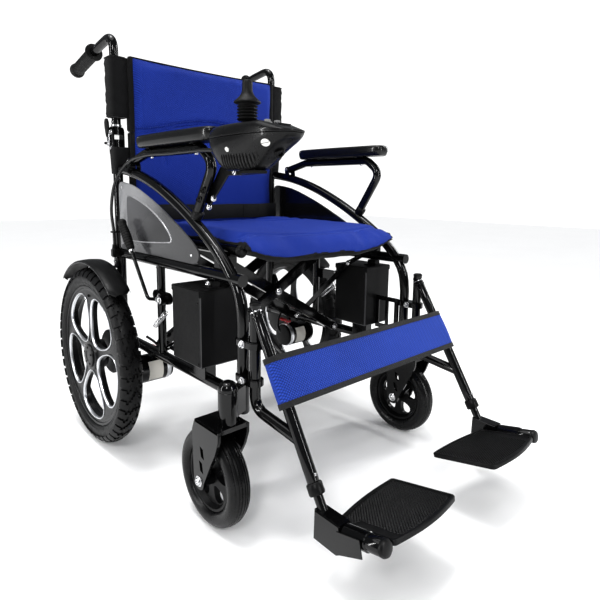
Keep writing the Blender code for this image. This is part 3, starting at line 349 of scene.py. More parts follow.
def make_materials():
    """Every finish by its key. The colours are linear."""
    blue, blue_hole_shade = (0.0125, 0.037, 0.27), (0.0025, 0.007, 0.055)
    return {
        "paint": surface("gloss_black_paint", (0.003, 0.003, 0.0033), 0.12, vary_scale=12,
                         rough_vary=0.04, grain=420, bump=0.015, specular=0.38),
        "paint_satin": surface("satin_black_paint", (0.005, 0.005, 0.0053), 0.34, grain=800,
                               bump=0.05, specular=0.2),
        "plastic": surface("moulded_black_plastic", (0.0065, 0.0065, 0.0068), 0.36,
                           rough_vary=0.07, grain=1400, bump=0.08, specular=0.16),
        "case": surface("controller_satin_plastic", (0.0055, 0.0055, 0.0058), 0.3, rough_vary=0.05,
                        grain=1700, bump=0.03, specular=0.16, coat=0.14),
        "rubber": surface("grip_rubber", (0.007, 0.007, 0.007), 0.48, rough_vary=0.1, grain=1100,
                          bump=0.12, specular=0.22),
        "tyre": surface("tyre_rubber", (0.008, 0.008, 0.0083), 0.45, vary=0.35, rough_vary=0.12,
                        grain=700, bump=0.12, specular=0.2),
        "tyre_smooth": surface("caster_tyre_rubber", (0.0065, 0.0065, 0.0068), 0.3, vary=0.3,
                               rough_vary=0.08, grain=900, bump=0.05, specular=0.25),
        "charcoal": surface("battery_case_powder", (0.0075, 0.0075, 0.0078), 0.46, vary=0.12,
                            rough_vary=0.06, grain=1300, bump=0.12, specular=0.11),
        # lighter grey on bevelled edges and rims: a painted highlight
        "edge": surface("painted_edge_highlight", (0.05, 0.05, 0.052), 0.34, grain=1300, bump=0.15),
        "steel": surface("zinc_steel", (0.62, 0.62, 0.63), 0.26, metallic=1.0, vary=0.12,
                         vary_scale=60, rough_vary=0.1, grain=1600, bump=0.05),
        "alloy": surface("machined_alloy", (0.72, 0.73, 0.75), 0.32, metallic=1.0, vary=0.08,
                         vary_scale=90, rough_vary=0.06, grain=2200, bump=0.015),
        "rim": surface("rim_black_paint", (0.007, 0.007, 0.0075), 0.3, grain=900, bump=0.05,
                       specular=0.25),
        "white_plug": surface("pale_plug", (0.72, 0.72, 0.70), 0.35, vary=0.05, grain=900,
                              bump=0.05),
        "grey": surface("button_grey_plastic", (0.22, 0.22, 0.22), 0.45, vary=0.08, grain=1500,
                        bump=0.1),
        "label": surface("blank_label", (0.62, 0.60, 0.55), 0.5, vary=0.06, grain=700, bump=0.05),
        "red": surface("clutch_red_plastic", (0.55, 0.012, 0.02), 0.35, vary=0.12, grain=900,
                       bump=0.06),
        "foam": surface("arm_pad_vinyl", (0.005, 0.005, 0.0053), 0.3, vary=0.15, rough_vary=0.04,
                        grain=650, bump=0.03, specular=0.2, coat=0.35),
        "cable": surface("cable_jacket", (0.008, 0.008, 0.008), 0.3, grain=500, bump=0.05),
        # the panel colours carry a painted reflection, lighter towards the top rear
        "panel": panel_painted_reflection("panel_grey_painted_reflection", (0.42, 0.42, 0.43), (0.03, 0.03, 0.032),
                              0.24),
        "panel_field": panel_painted_reflection("panel_field_dark_painted_reflection", (0.12, 0.12, 0.125),
                                    (0.008, 0.008, 0.009), 0.22, 0.3),
        "panel_edge": surface("panel_light_edge", (0.4, 0.4, 0.41), 0.25, metallic=0.4, grain=900,
                              bump=0.03),
        "panel_black": surface("panel_gloss_black", (0.006, 0.006, 0.0065), 0.16, grain=500,
                               bump=0.02, coat=0.6),
        # the second, darker colour of each air mesh is painted shade for its holes
        "blue": air_mesh("air_mesh_blue", blue, blue_hole_shade, 0.0040, 0.8),
        "blue_open": air_mesh("air_mesh_open_blue", (0.021, 0.056, 0.33), (0.001, 0.002, 0.014),
                              0.0056, 1.0, open_share=0.55),
        "thread": surface("seam_thread_blue", (0.05, 0.11, 0.52), 0.6, grain=3000, bump=0.3),
        "binding": woven("black_binding_tape", (0.009, 0.009, 0.0093)),
        "binding_grey": woven("grey_binding_tape", (0.024, 0.024, 0.0245)),
        "webbing": woven("belt_webbing", (0.02, 0.02, 0.0205), depth=0.9),
        "black_cloth": woven("black_oxford_cloth", (0.0065, 0.0065, 0.0068), ribs=520, cross=700),
    }


# ---- outlines and paths --------------------------------------------------------------
def rounded(points, radius, steps=8):
    """The path with each inner corner replaced by an arc of about this radius."""
    points = [Vector(p) for p in points]
    out = [points[0]]
    for before, corner, after in zip(points, points[1:], points[2:]):
        a, b = (before - corner), (after - corner)
        reach = min(radius * tan((pi - a.angle(b)) / 2), 0.49 * a.length, 0.49 * b.length)
        start, end = corner + a.normalized() * reach, corner + b.normalized() * reach
        for k in range(steps + 1):
            t = k / steps
            out.append((1 - t) ** 2 * start + 2 * t * (1 - t) * corner + t * t * end)
    out.append(points[-1])
    return out


def smooth_route(points, spacing):
    """Evenly spaced points on a smooth curve (Catmull-Rom) through the route's own points."""
    points = [Vector(p) for p in points]
    ends = [2 * points[0] - points[1]] + points + [2 * points[-1] - points[-2]]
    fine = [points[0]]
    for p0, p1, p2, p3 in zip(ends, ends[1:], ends[2:], ends[3:]):
        for k in range(1, 13):
            t = k / 12
            fine.append(0.5 * (2 * p1 + (p2 - p0) * t + (2 * p0 - 5 * p1 + 4 * p2 - p3) * t * t
                               + (3 * p1 - p0 - 3 * p2 + p3) * t ** 3))
    out = [fine[0]]
    for point in fine[1:-1]:
        if (point - out[-1]).length >= spacing and (point - fine[-1]).length > spacing / 2:
            out.append(point)
    return out + [fine[-1]]


def turn(count, phase=0.0):
    """Evenly spaced angles round a full turn."""
    return [2 * pi * (k + phase) / count for k in range(count)]


def spread(first, last, steps):
    """Evenly spaced values, both ends among them."""
    return [first + (last - first) * k / steps for k in range(steps + 1)]


def arc(first, last, steps):
    """Evenly spaced angles between two given in degrees."""
    return [radians(a) for a in spread(first, last, steps)]


def circle(x, y, r, count):
    return [(x + r * cos(a), y + r * sin(a)) for a in turn(count)]


def blunt(value, power=0.5):
    """A sine or cosine pushed towards 1 or -1, which squares off a ring."""
    return copysign(abs(value) ** power, value)


def mirrored(half):
    """A (radius, along) outline from its half on the far side of the middle."""
    return [(r, -w) for r, w in half] + [(r, w) for r, w in reversed(half)]


def slot_plate(a, b, r, steps=10):
    """The outline of a flat link with round ends at a and b."""
    a, b = Vector(a), Vector(b)
    heading = atan2((b - a).y, (b - a).x)
    out = []
    for end, start in ((b, heading - pi / 2), (a, heading + pi / 2)):
        for t in spread(start, start + pi, steps):
            out.append((end.x + r * cos(t), end.y + r * sin(t)))
    return out


def rounded_rect(x0, x1, y0, y1, r):
    """An outline with round corners."""
    out = []
    for cx, cy, start in ((x1 - r, y1 - r, 0), (x0 + r, y1 - r, 90), (x0 + r, y0 + r, 180),
            (x1 - r, y0 + r, 270)):
        for a in arc(start, start + 90, 6):
            out.append((cx + r * cos(a), cy + r * sin(a)))
    return out


# ---- mesh building ------------------------------------------------------------------
PLACE = {"x": lambda a, b, t: (t, a, b), "y": lambda a, b, t: (a, t, b),
         "z": lambda a, b, t: (a, b, t)}


def side_name(base, s):
    """The name of a piece, node or body on one side."""
    return f"{base}_{'left' if s > 0 else 'right'}"


class Build:
    """Gathers closed shells into one mesh, each with its own material."""

    def __init__(self):
        self.bm = bmesh.new()
        self.keys = []
        self.now = 0

    def use(self, key):
        """Sets the material of the shells that follow."""
        if key not in self.keys:
            self.keys.append(key)
        self.now = self.keys.index(key)
        return self

    def take(self, bm, edge_key=None):
        """Adds a shell and frees it. Faces marked 1 take the edge material."""
        bmesh.ops.recalc_face_normals(bm, faces=bm.faces)
        base = self.now
        if edge_key:
            self.use(edge_key)
            edge, self.now = self.now, base
        for face in bm.faces:
            face.material_index = edge if edge_key and face.material_index == 1 else base
        mesh = bpy.data.meshes.new("shell")
        bm.to_mesh(mesh)
        bm.free()
        self.bm.from_mesh(mesh)
        bpy.data.meshes.remove(mesh)

    def skin(self, rings, closed=False):
        """Joins rings of points, each a closed loop, into a shell."""
        bm = bmesh.new()
        loops = [[bm.verts.new(p) for p in ring] for ring in rings]
        pairs = list(zip(loops, loops[1:])) + ([(loops[-1], loops[0])] if closed else [])
        for a, b in pairs:
            for k in range(len(a)):
                j = (k + 1) % len(a)
                bm.faces.new([a[k], a[j], b[j], b[k]])
        if not closed:
            bm.faces.new(loops[0])
            bm.faces.new(loops[-1])
        self.take(bm)

    def tube(self, path, radius, sides=20, closed=False, dome=False, flat=1.0, up=None):
        """A round bar along a path; flat squeezes it along its own up direction."""
        path = [Vector(p) for p in path]
        radii = list(radius) if isinstance(radius, (list, tuple)) else [radius] * len(path)
        if dome:
            for end, step in ((0, 1), (-1, -1)):
                out = (path[end] - path[end + step]).normalized() * radii[end]
                tip = path[end]
                extra = [(tip + out * 0.45 * q, radii[end] * sqrt(max(0.0, 1 - q * q)))
                         for q in (0.5, 0.8, 0.95)]
                if end == 0:
                    path = [p for p, _ in reversed(extra)] + path
                    radii = [r for _, r in reversed(extra)] + radii
                else:
                    path += [p for p, _ in extra]
                    radii += [r for _, r in extra]
        rings, up = [], Vector(up) if up is not None else None
        count = len(path)
        for i, point in enumerate(path):
            before = path[(i - 1) % count] if closed else path[max(i - 1, 0)]
            after = path[(i + 1) % count] if closed else path[min(i + 1, count - 1)]
            along = (after - before).normalized()
            if up is None:
                up = along.orthogonal().normalized()
            up = (up - along * up.dot(along)).normalized()
            side = along.cross(up)
            rings.append([point + radii[i] * (flat * cos(a) * up + sin(a) * side)
                          for a in turn(sides, 0.5)])
        self.skin(rings, closed)

    def rod(self, p0, p1, radius, sides=20):
        self.tube([p0, p1], radius, sides)

    def lathe(self, profile, centre, axis, sides=40):
        """Turns a (radius, along) outline; both ends on the axis, or a closed loop off it."""
        axis = Vector(axis).normalized()
        start = Vector((1, 0, 0)) if abs(axis.z) > 0.9 else Vector((0, 0, 1))
        u = (start - axis * start.dot(axis)).normalized()
        v = axis.cross(u)
        centre = Vector(centre)
        bm = bmesh.new()
        rings = []
        for radius, along in profile:
            middle = centre + axis * along
            if radius < 1e-6:
                rings.append([bm.verts.new(middle)])
            else:
                rings.append([bm.verts.new(middle + radius * (cos(a) * u + sin(a) * v))
                              for a in turn(sides)])
        pairs = list(zip(rings, rings[1:]))
        if len(rings[0]) > 1:
            pairs.append((rings[-1], rings[0]))
        for a, b in pairs:
            for k in range(sides):
                j = (k + 1) % sides
                face = list(dict.fromkeys([a[k % len(a)], a[j % len(a)], b[j % len(b)],
                    b[k % len(b)]]))
                if len(face) > 2:
                    bm.faces.new(face)
        self.take(bm)

    def disc(self, radius, low, high, centre, axis, sides):
        self.lathe([(0, low), (radius, low), (radius, high), (0, high)], centre, axis, sides)

    def collar(self, inner, outer, low, high, centre, axis, sides):
        self.lathe([(inner, low), (outer, low), (outer, high), (inner, high)], centre, axis, sides)

    def prism(self, outline, axis, low, high, bevel=0.0008, segments=2, edge_key=None):
        """An outline carried along an axis, with its rims rounded."""
        bm = bmesh.new()
        rings = [[bm.verts.new(PLACE[axis](a, b, t)) for a, b in outline] for t in (low, high)]
        bm.faces.new(rings[0])
        bm.faces.new(rings[1])
        n = len(outline)
        for i in range(n):
            j = (i + 1) % n
            bm.faces.new([rings[0][i], rings[0][j], rings[1][j], rings[1][i]])
        bmesh.ops.recalc_face_normals(bm, faces=bm.faces)
        if bevel:
            first = set(rings[0])
            rims = [e for e in bm.edges if (e.verts[0] in first) == (e.verts[1] in first)]
            bmesh.ops.bevel(bm, geom=rims, offset=bevel, segments=segments, affect="EDGES",
                            material=1 if edge_key else -1, clamp_overlap=True)
        self.take(bm, edge_key)

    def box(self, lo, hi, bevel=0.001, segments=2, edge_key=None):
        """A block between two corners, with rounded edges."""
        bm = bmesh.new()
        bmesh.ops.create_cube(bm, size=1.0)
        for v in bm.verts:
            for i in range(3):
                v.co[i] = min(lo[i], hi[i]) if v.co[i] < 0 else max(lo[i], hi[i])
        if bevel:
            bmesh.ops.bevel(bm, geom=list(bm.edges), offset=bevel, segments=segments,
                            affect="EDGES", material=1 if edge_key else -1)
        self.take(bm, edge_key)

    def bolt(self, centre, axis, r=0.005, h=0.0035, washer=True, key="steel"):
        """A domed socket bolt on a washer, its head pointing along the axis."""
        before = self.now
        self.use(key)
        if washer:
            self.lathe([(0, 0), (r * 1.45, 0), (r * 1.45, 0.0006), (r * 1.3, 0.001), (0, 0.001)],
                       centre, axis, 28)
        base = Vector(centre) + Vector(axis).normalized() * (0.0009 if washer else 0)
        self.lathe([(0, 0), (r, 0), (r, h * 0.45), (r * 0.86, h * 0.85), (r * 0.58, h),
                    (r * 0.5, h * 0.96), (r * 0.48, h * 0.35), (0, h * 0.3)], base, axis, 24)
        self.now = before

    def nut(self, centre, axis, r, h):
        """A lock nut on its washer."""
        before = self.now
        self.use("steel").disc(r * 1.3, 0, 0.001, centre, axis, 28)
        base = Vector(centre) + Vector(axis).normalized() * 0.001
        self.lathe([(0, 0), (r, 0), (r, h * 0.8), (r * 0.85, h), (r * 0.5, h),
                    (r * 0.45, h * 1.35), (0, h * 1.4)], base, axis, 6)
        self.now = before

    def coil(self, start, end, radius, wire, turns):
        """A coil spring."""
        start, end = Vector(start), Vector(end)
        along = (end - start).normalized()
        u = along.orthogonal().normalized()
        v = along.cross(u)
        per_turn = 14
        steps = turns * per_turn
        path = [start + (end - start) * (k / steps) + radius * (cos(2 * pi * k / per_turn) * u +
            sin(2 * pi * k / per_turn) * v) for k in range(steps + 1)]
        self.tube(path, wire, 8)

    def band(self, outline, axis, section):
        """A closed section carried round an outline: (outwards, along the axis) offsets."""
        count = len(outline)
        area = sum(outline[i][0] * outline[(i + 1) % count][1]
                   - outline[(i + 1) % count][0] * outline[i][1] for i in range(count))
        way = 1 if area > 0 else -1
        rings = []
        for i in range(count):
            a0, a1 = Vector(outline[i - 1]), Vector(outline[(i + 1) % count])
            along = (a1 - a0).normalized()
            normal = Vector((along.y, -along.x)) * way
            here = Vector(outline[i])
            rings.append([PLACE[axis](here.x + normal.x * out, here.y + normal.y * out, t)
                          for out, t in section])
        self.skin(rings, closed=True)

    def ribbon(self, path, facing, width, thick):
        """Flat tape along a path. facing is the way its broad face looks, one or one per point."""
        path = [Vector(p) for p in path]
        rings = []
        half, deep = width / 2, thick / 2
        nip = deep * 0.35
        for i, point in enumerate(path):
            along = (path[min(i + 1, len(path) - 1)] - path[max(i - 1, 0)]).normalized()
            face = Vector(facing[i]) if isinstance(facing, list) else Vector(facing)
            face = (face - along * face.dot(along)).normalized()
            side = along.cross(face)
            rings.append([point + side * a + face * b for a, b in (
                (-half, -deep + nip), (-half + nip, -deep), (0, -deep), (half - nip, -deep),
                (half, -deep + nip), (half, deep - nip), (half - nip, deep), (0, deep),
                (-half + nip, deep), (-half, deep - nip))])
        self.skin(rings)

    def cut(self, cutters):
        """Cuts closed outlines, each (outline, axis, low, high), from what is built so far."""
        whole = self.to_object("whole")
        tool_build = Build()
        for outline, axis, low, high in cutters:
            tool_build.prism(outline, axis, low, high, bevel=0)
        tool = tool_build.to_object("tool")
        modifier = whole.modifiers.new("Boolean", "BOOLEAN")
        modifier.operation, modifier.solver, modifier.object = "DIFFERENCE", "EXACT", tool
        bpy.context.view_layer.update()
        graph = bpy.context.evaluated_depsgraph_get()
        mesh = bpy.data.meshes.new_from_object(whole.evaluated_get(graph))
        for obj in (whole, tool):
            bpy.data.objects.remove(obj)
        self.bm = bmesh.new()
        self.bm.from_mesh(mesh)
        bmesh.ops.remove_doubles(self.bm, verts=self.bm.verts, dist=1e-6)
        bpy.data.meshes.remove(mesh)

    def absorb(self, part):
        """Adds a part that was built and cut by itself, in this build's first material."""
        mesh = bpy.data.meshes.new("part")
        part.bm.to_mesh(mesh)
        part.bm.free()
        self.bm.from_mesh(mesh)
        bpy.data.meshes.remove(mesh)

    def to_object(self, name):
        mesh = bpy.data.meshes.new(name)
        self.bm.to_mesh(mesh)
        self.bm.free()
        obj = bpy.data.objects.new(name, mesh)
        bpy.context.scene.collection.objects.link(obj)
        return obj

    def piece(self, name, body, slot, replaces=(), angle=38):
        """Turns what was built into a named piece on a body."""
        bmesh.ops.translate(self.bm, verts=self.bm.verts, vec=(0, Y0, 0))
        obj = self.to_object(name)
        for key in self.keys:
            obj.data.materials.append(M[key])
        obj.data.shade_smooth()
        obj.data.set_sharp_from_angle(angle=radians(angle))
        if body:
            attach(obj, body)
        if replaces:
            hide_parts(*replaces)
        return obj

    def sided(self, s, name, body, slot, node=None, angle=38):
        """A piece that the chair has on its left and on its right."""
        return self.piece(side_name(name, s), side_name(body, s), slot,
                          [side_name(node, s)] if node else (), angle)


# ---- the controller's cable ---------------------------------------------------------
def make_cable():
    """Leaves the gland, follows the arm tube, and drops behind the post into the frame."""
    outside = -TUBE_X - 0.0165
    route = [CABLE_EXIT, (CABLE_EXIT[0], CABLE_EXIT[1] + 0.03, CABLE_EXIT[2] + 0.001),
             (outside, -0.12, 0.655), (outside, -0.02, 0.6545), (outside, 0.07, 0.655),
             (outside - 0.003, 0.15, 0.643), (outside - 0.007, 0.213, 0.6),
             (outside - 0.007, 0.24, 0.54), (CABLE_END[0], 0.246, 0.49),
             (CABLE_END[0], CABLE_END[1], CABLE_END[2] + 0.02), CABLE_END]
    path = smooth_route(route, 0.0165)
    build = Build().use("cable")
    fine = smooth_route(path, 0.004)
    build.tube(fine, CABLE_R, 14)
    cable = build.piece("controller_cable_jacket", None, "cable_jacket", ["controller_cable"])
    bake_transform(cable)


# ---- side frames --------------------------------------------------------------------
def weld(b, centre, axis, r):
    """A small bead where two tubes join."""
    b.lathe([(r - 0.0008, -0.0016), (r + 0.0012, -0.0008), (r + 0.0012, 0.0008),
             (r - 0.0008, 0.0016)], centre, axis, 24)


def side_frame(s):
    """The welded tubes of one side, with its brackets, hinges and rests."""
    x = s * TUBE_X
    b = Build().use("paint")
    bend = smooth_route([(x, y, z) for y, z in ARC], 0.014)
    b.tube(bend + [Vector((x, POST_Y, z)) for z in (0.34, 0.3, 0.205)], TUBE_R - 0.0003,
           dome=True)
    b.rod((x, BACK_Y, 0.222), (x, BACK_Y, 0.699), TUBE_R)
    b.rod((x, POST_Y, RAIL_Z), (x, BACK_Y, RAIL_Z), TUBE_R - 0.0001)
    b.rod((x, POST_Y, LOWER_Z), (x, BACK_Y, LOWER_Z), TUBE_R - 0.0001)
    b.rod((x, 0.05, LOWER_Z), (x, 0.05, RAIL_Z), 0.009)
    for y, z, axis, r in ((POST_Y + 0.0115, LOWER_Z, (0, 1, 0), TUBE_R),
                          (BACK_Y - 0.0115, LOWER_Z, (0, 1, 0), TUBE_R),
                          (BACK_Y - 0.0115, RAIL_Z, (0, 1, 0), TUBE_R),
                          (0.05, LOWER_Z + 0.0115, (0, 0, 1), 0.009),
                          (0.05, RAIL_Z - 0.0115, (0, 0, 1), 0.009)):
        weld(b, (x, y, z), axis, r)
    # caster barrel, its plate, and the motor plate
    b.lathe([(0, 0.275), (0.006, 0.2746), (0.0105, 0.2725), (0.0145, 0.2685), (0.0165, 0.263),
             (0.0165, 0.2595), (0.0158, 0.259), (0.0158, 0.2575), (0.0165, 0.257),
             (0.0165, 0.2035), (0.0158, 0.202), (0.0095, 0.202), (0.0095, 0.214), (0, 0.214)],
            (s * CASTER_X, STEM_Y, 0), (0, 0, 1), 36)
    b.prism([(s * 0.226, -0.236), (s * 0.2275, -0.2505), (s * 0.268, -0.268),
             (s * 0.277, -0.244)], "z", 0.209, 0.258, 0.0015)
    b.prism([(0.262, 0.225), (0.262, 0.335), (0.235, 0.335), (0.182, 0.245), (0.182, 0.225)],
            "x", s * 0.2365, s * 0.2435, 0.0015)
    b.box((s * 0.219, -0.14, 0.232), (s * 0.243, -0.095, BOX_Z[0] - 0.0005), 0.0015)
    # diagonal stay
    b.prism(slot_plate(STAY_TOP, STAY_FOOT, 0.0065), "x", s * 0.1745, s * 0.1785)
    b.rod((s * 0.1765, *STAY_TOP), (s * 0.226, STAY_TOP[0], 0.431), 0.0055)
    b.rod((s * 0.1765, *STAY_FOOT), (s * 0.228, STAY_FOOT[0], LOWER_Z + 0.004), 0.006)
    for y, z in (STAY_TOP, STAY_FOOT):
        b.bolt((s * 0.1745, y, z), (-s, 0, 0), 0.0038, 0.003)
    # parking brake bracket and pin
    b.prism(slot_plate((0.0, BRAKE_Z), (0.05, BRAKE_Z), 0.012), "x", s * 0.2375, s * 0.2455)
    b.rod((s * 0.24, 0.0, BRAKE_Z), (s * 0.2622, 0.0, BRAKE_Z), 0.0045)
    b.bolt((s * 0.2455, 0.032, BRAKE_Z), (s, 0, 0), 0.0042)
    b.bolt((s * 0.2622, 0.0, BRAKE_Z), (s, 0, 0), 0.0058, 0.004)
    # rests for the seat rail
    for y in (-0.16, 0.16):
        b.box((s * 0.192, y - 0.012, 0.437), (s * 0.2275, y + 0.012, 0.4684), 0.0015)
        b.tube([(s * 0.192, y, 0.467), (s * 0.2245, y, 0.467)], 0.0015, 8)
    # cross brace pivot rod and lugs
    bars = BAR_A_Y if s < 0 else BAR_B_Y
    b.rod((s * BRACE_X, bars[0][0] - 0.003, BRACE_Z), (s * BRACE_X, bars[1][1] + 0.003, BRACE_Z),
          0.005)
    for y, way in ((bars[0][0] - 0.003, -1), (bars[1][1] + 0.003, 1)):
        b.nut((s * BRACE_X, y, BRACE_Z), (0, way, 0), 0.0062, 0.004)
    for y in (-0.024, 0.082):
        b.prism(slot_plate((s * BRACE_X, BRACE_Z), (s * 0.229, 0.232), 0.0095), "y", y, y + 0.006)
    # hinge rings for the legrest hanger, with their clamp bolts
    for z in HINGE_RING_Z:
        ring = Build().use("paint")
        ring.prism(slot_plate((x, POST_Y - 0.002), (x, HANGER_Y), 0.0145, 14), "z",
                   z - 0.006, z + 0.006, 0.0012)
        ring.cut([(circle(x, HANGER_Y, 0.0098, 32), "z", z - 0.02, z + 0.02)])
        b.absorb(ring)
        for way in (-1, 1):
            b.nut((x + way * 0.0144, POST_Y - 0.017, z), (way, 0, 0), 0.0052, 0.0045)
    # slotted bracket between the left battery box and the front post
    if s > 0:
        for y0, y1, z0, z1 in ((-0.232, -0.166, 0.262, 0.272), (-0.232, -0.166, 0.33, 0.34),
                (-0.176, -0.166, 0.27, 0.332), (-0.203, -0.195, 0.27, 0.332),
                (-0.232, -0.221, 0.27, 0.332)):
            b.box((0.2215, y0, z0), (0.227, y1, z1), 0.001)
    # backrest hinge: cheeks and pin
    for side in (-1, 1):
        a = x + side * 0.0103
        b.prism(slot_plate((BACK_Y, 0.672), (BACK_Y, BACK_HINGE_Z), 0.012), "x", a,
                a + side * 0.0035, 0.0007)
        b.bolt((a + side * 0.0035, BACK_Y, BACK_HINGE_Z), (side, 0, 0), 0.0042, 0.003)
        b.bolt((a + side * 0.0035, BACK_Y, 0.679), (side, 0, 0), 0.0036, 0.0026)
    b.rod((x - 0.0142, BACK_Y, BACK_HINGE_Z), (x + 0.0142, BACK_Y, BACK_HINGE_Z), 0.004)
    # armrest hinge: cheeks and pin
    y, z = ARM_PIVOT
    for side in (-1, 1):
        a = x + side * (ARM_R + 0.0003)
        b.prism(slot_plate((y - 0.002, z - 0.017), (y, z), 0.008), "x", a - side * 0.0002,
                a + side * 0.0025, 0.0005)
        b.bolt((a + side * 0.0025, y, z), (side, 0, 0), 0.0036, 0.0026, washer=False)
    b.rod((x - 0.0115, y, z), (x + 0.0115, y, z), 0.0035)
    if s < 0:
        b.use("plastic").box((-0.2555, 0.236, 0.4255), (-0.238, 0.2525, CABLE_END[2] - 0.0003),
            0.0025, 3)
        b.lathe([(0.0037, 0), (0.0062, 0), (0.0056, 0.003), (0.0048, 0.0095), (0.0037, 0.0095)],
                (CABLE_END[0], CABLE_END[1], CABLE_END[2] - 0.0003), (0, 0.02, 1), 20)
        b.use("paint")
    b.rod((x + s * 0.011, 0.257, 0.69), (x + s * 0.026, 0.257, 0.69), 0.003)
    # plug in the lower end of the back post
    b.use("plastic").lathe([(0, -0.001), (0.0095, -0.001), (0.0112, 0.0005), (0.0112, 0.005),
        (0, 0.005)], (x, BACK_Y, 0.218), (0, 0, 1), 24)
    # spring of the parking brake
    b.use("steel").coil((s * 0.249, -0.002, 0.337), (s * 0.249, 0.046, 0.3), 0.0048, 0.0009, 11)
    b.tube([(s * 0.249, -0.002, 0.342), (s * 0.249, -0.001, 0.352)], 0.0009, 8)
    b.sided(s, "frame_tubes", "frame", "frame_paint", "side_frame")


def side_panel(s):
    """The moulded panel between arc tube and rail; only the right one is two-toned, and its colour
    fades with a painted reflection.
    """
    base = RAIL_Z + TUBE_R + 0.0003
    outline = [(0.2385, base + 0.004), (0.2385, 0.588), (0.236, 0.5955), (0.232, 0.6),
               (0.225, 0.602), (0.215, 0.602), (0.19, 0.5992), (0.16, 0.594), (0.13, 0.5855),
               (0.1, 0.575), (0.07, 0.5642), (0.04, 0.552), (0.01, 0.539), (-0.02, 0.525),
               (-0.045, 0.5132), (-0.07, 0.5), (-0.091, 0.4885), (-0.108, 0.476),
               (-0.1128, 0.4705), (-0.113, 0.464), (-0.111, 0.456), (-0.105, base + 0.003),
               (-0.09, base), (0.0, base), (0.1, base), (0.23, base)]
    inner = [(0.193, 0.477), (0.1945, 0.52), (0.1945, 0.558), (0.191, 0.5685), (0.183, 0.5725),
             (0.165, 0.5705), (0.145, 0.566), (0.12, 0.5595), (0.095, 0.5515), (0.07, 0.542),
             (0.047, 0.5315), (0.026, 0.5195), (0.008, 0.507), (-0.004, 0.4965),
             (-0.0095, 0.489), (-0.0095, 0.4825), (-0.003, 0.4795), (0.03, 0.4765),
             (0.08, 0.4728), (0.13, 0.4702), (0.17, 0.4692), (0.1865, 0.4705)]
    b = Build().use("panel" if s < 0 else "panel_black")
    x = s * 0.2345
    b.prism(outline, "x", x - 0.002, x + 0.0018, 0.0014, 3)
    b.use("panel_edge" if s < 0 else "panel_black")
    b.band(inner, "x", [(-0.0025, x + s * 0.0012), (0.0012, x + s * 0.0012),
        (0.0004, x + s * 0.0028), (-0.0008, x + s * 0.0034), (-0.0025, x + s * 0.0034)])
    b.use("panel_field" if s < 0 else "panel_black")
    shrunk = [(0.12 + (y - 0.12) * 0.982, 0.513 + (z - 0.513) * 0.97) for y, z in inner]
    b.prism(shrunk, "x", s * 0.2345, s * 0.2381, 0.0012, 3)
    b.use("steel")
    for y, z in ((0.225, 0.46), (0.222, 0.588), (-0.085, 0.463)):
        b.bolt((s * 0.2362, y, z), (s, 0, 0), 0.0028, 0.002, washer=False)
    b.sided(s, "panel", "frame", "panel_plastic" if s < 0 else "panel_plastic_black", "side_panel",
        angle=30)


def battery_box(s):
    """One battery case with its lid and hanger."""
    b = Build().use("charcoal")
    # its rounded edges take the lighter grey: a painted highlight
    b.box((s * BOX_X[0], BOX_Y[0], BOX_Z[0]), (s * BOX_X[1], BOX_Y[1], BOX_Z[1]), 0.0028, 3,
          edge_key="edge")
    # lid, folded over the body
    b.box((s * (BOX_X[0] - 0.0008), BOX_Y[0] - 0.0008, 0.398),
          (s * (BOX_X[1] + 0.0008), BOX_Y[1] + 0.0008, BOX_Z[1] + 0.0012), 0.0016, 2)
    b.box((s * 0.222, -0.16, BOX_Z[1] - 0.004), (s * 0.24, -0.136, 0.4237), 0.0012)
    b.box((s * 0.215, -0.165, BOX_Z[1] + 0.0005), (s * 0.247, -0.131, BOX_Z[1] + 0.0035), 0.001)
    b.use("steel")
    b.bolt((s * 0.24, -0.148, 0.4175), (s, 0, 0), 0.0042, 0.0028)
    for y in (-0.161, -0.075):
        for z in (0.276, 0.388):
            b.bolt((s * 0.2698, y, z), (s, 0, 0), 0.0022, 0.0014, washer=False, key="plastic")
            b.bolt((s * (BOX_X[0] + 0.0002), y, z), (-s, 0, 0), 0.0022, 0.0014, washer=False,
                   key="plastic")
    b.sided(s, "battery_case", "frame", "battery_case", "battery_box", angle=30)


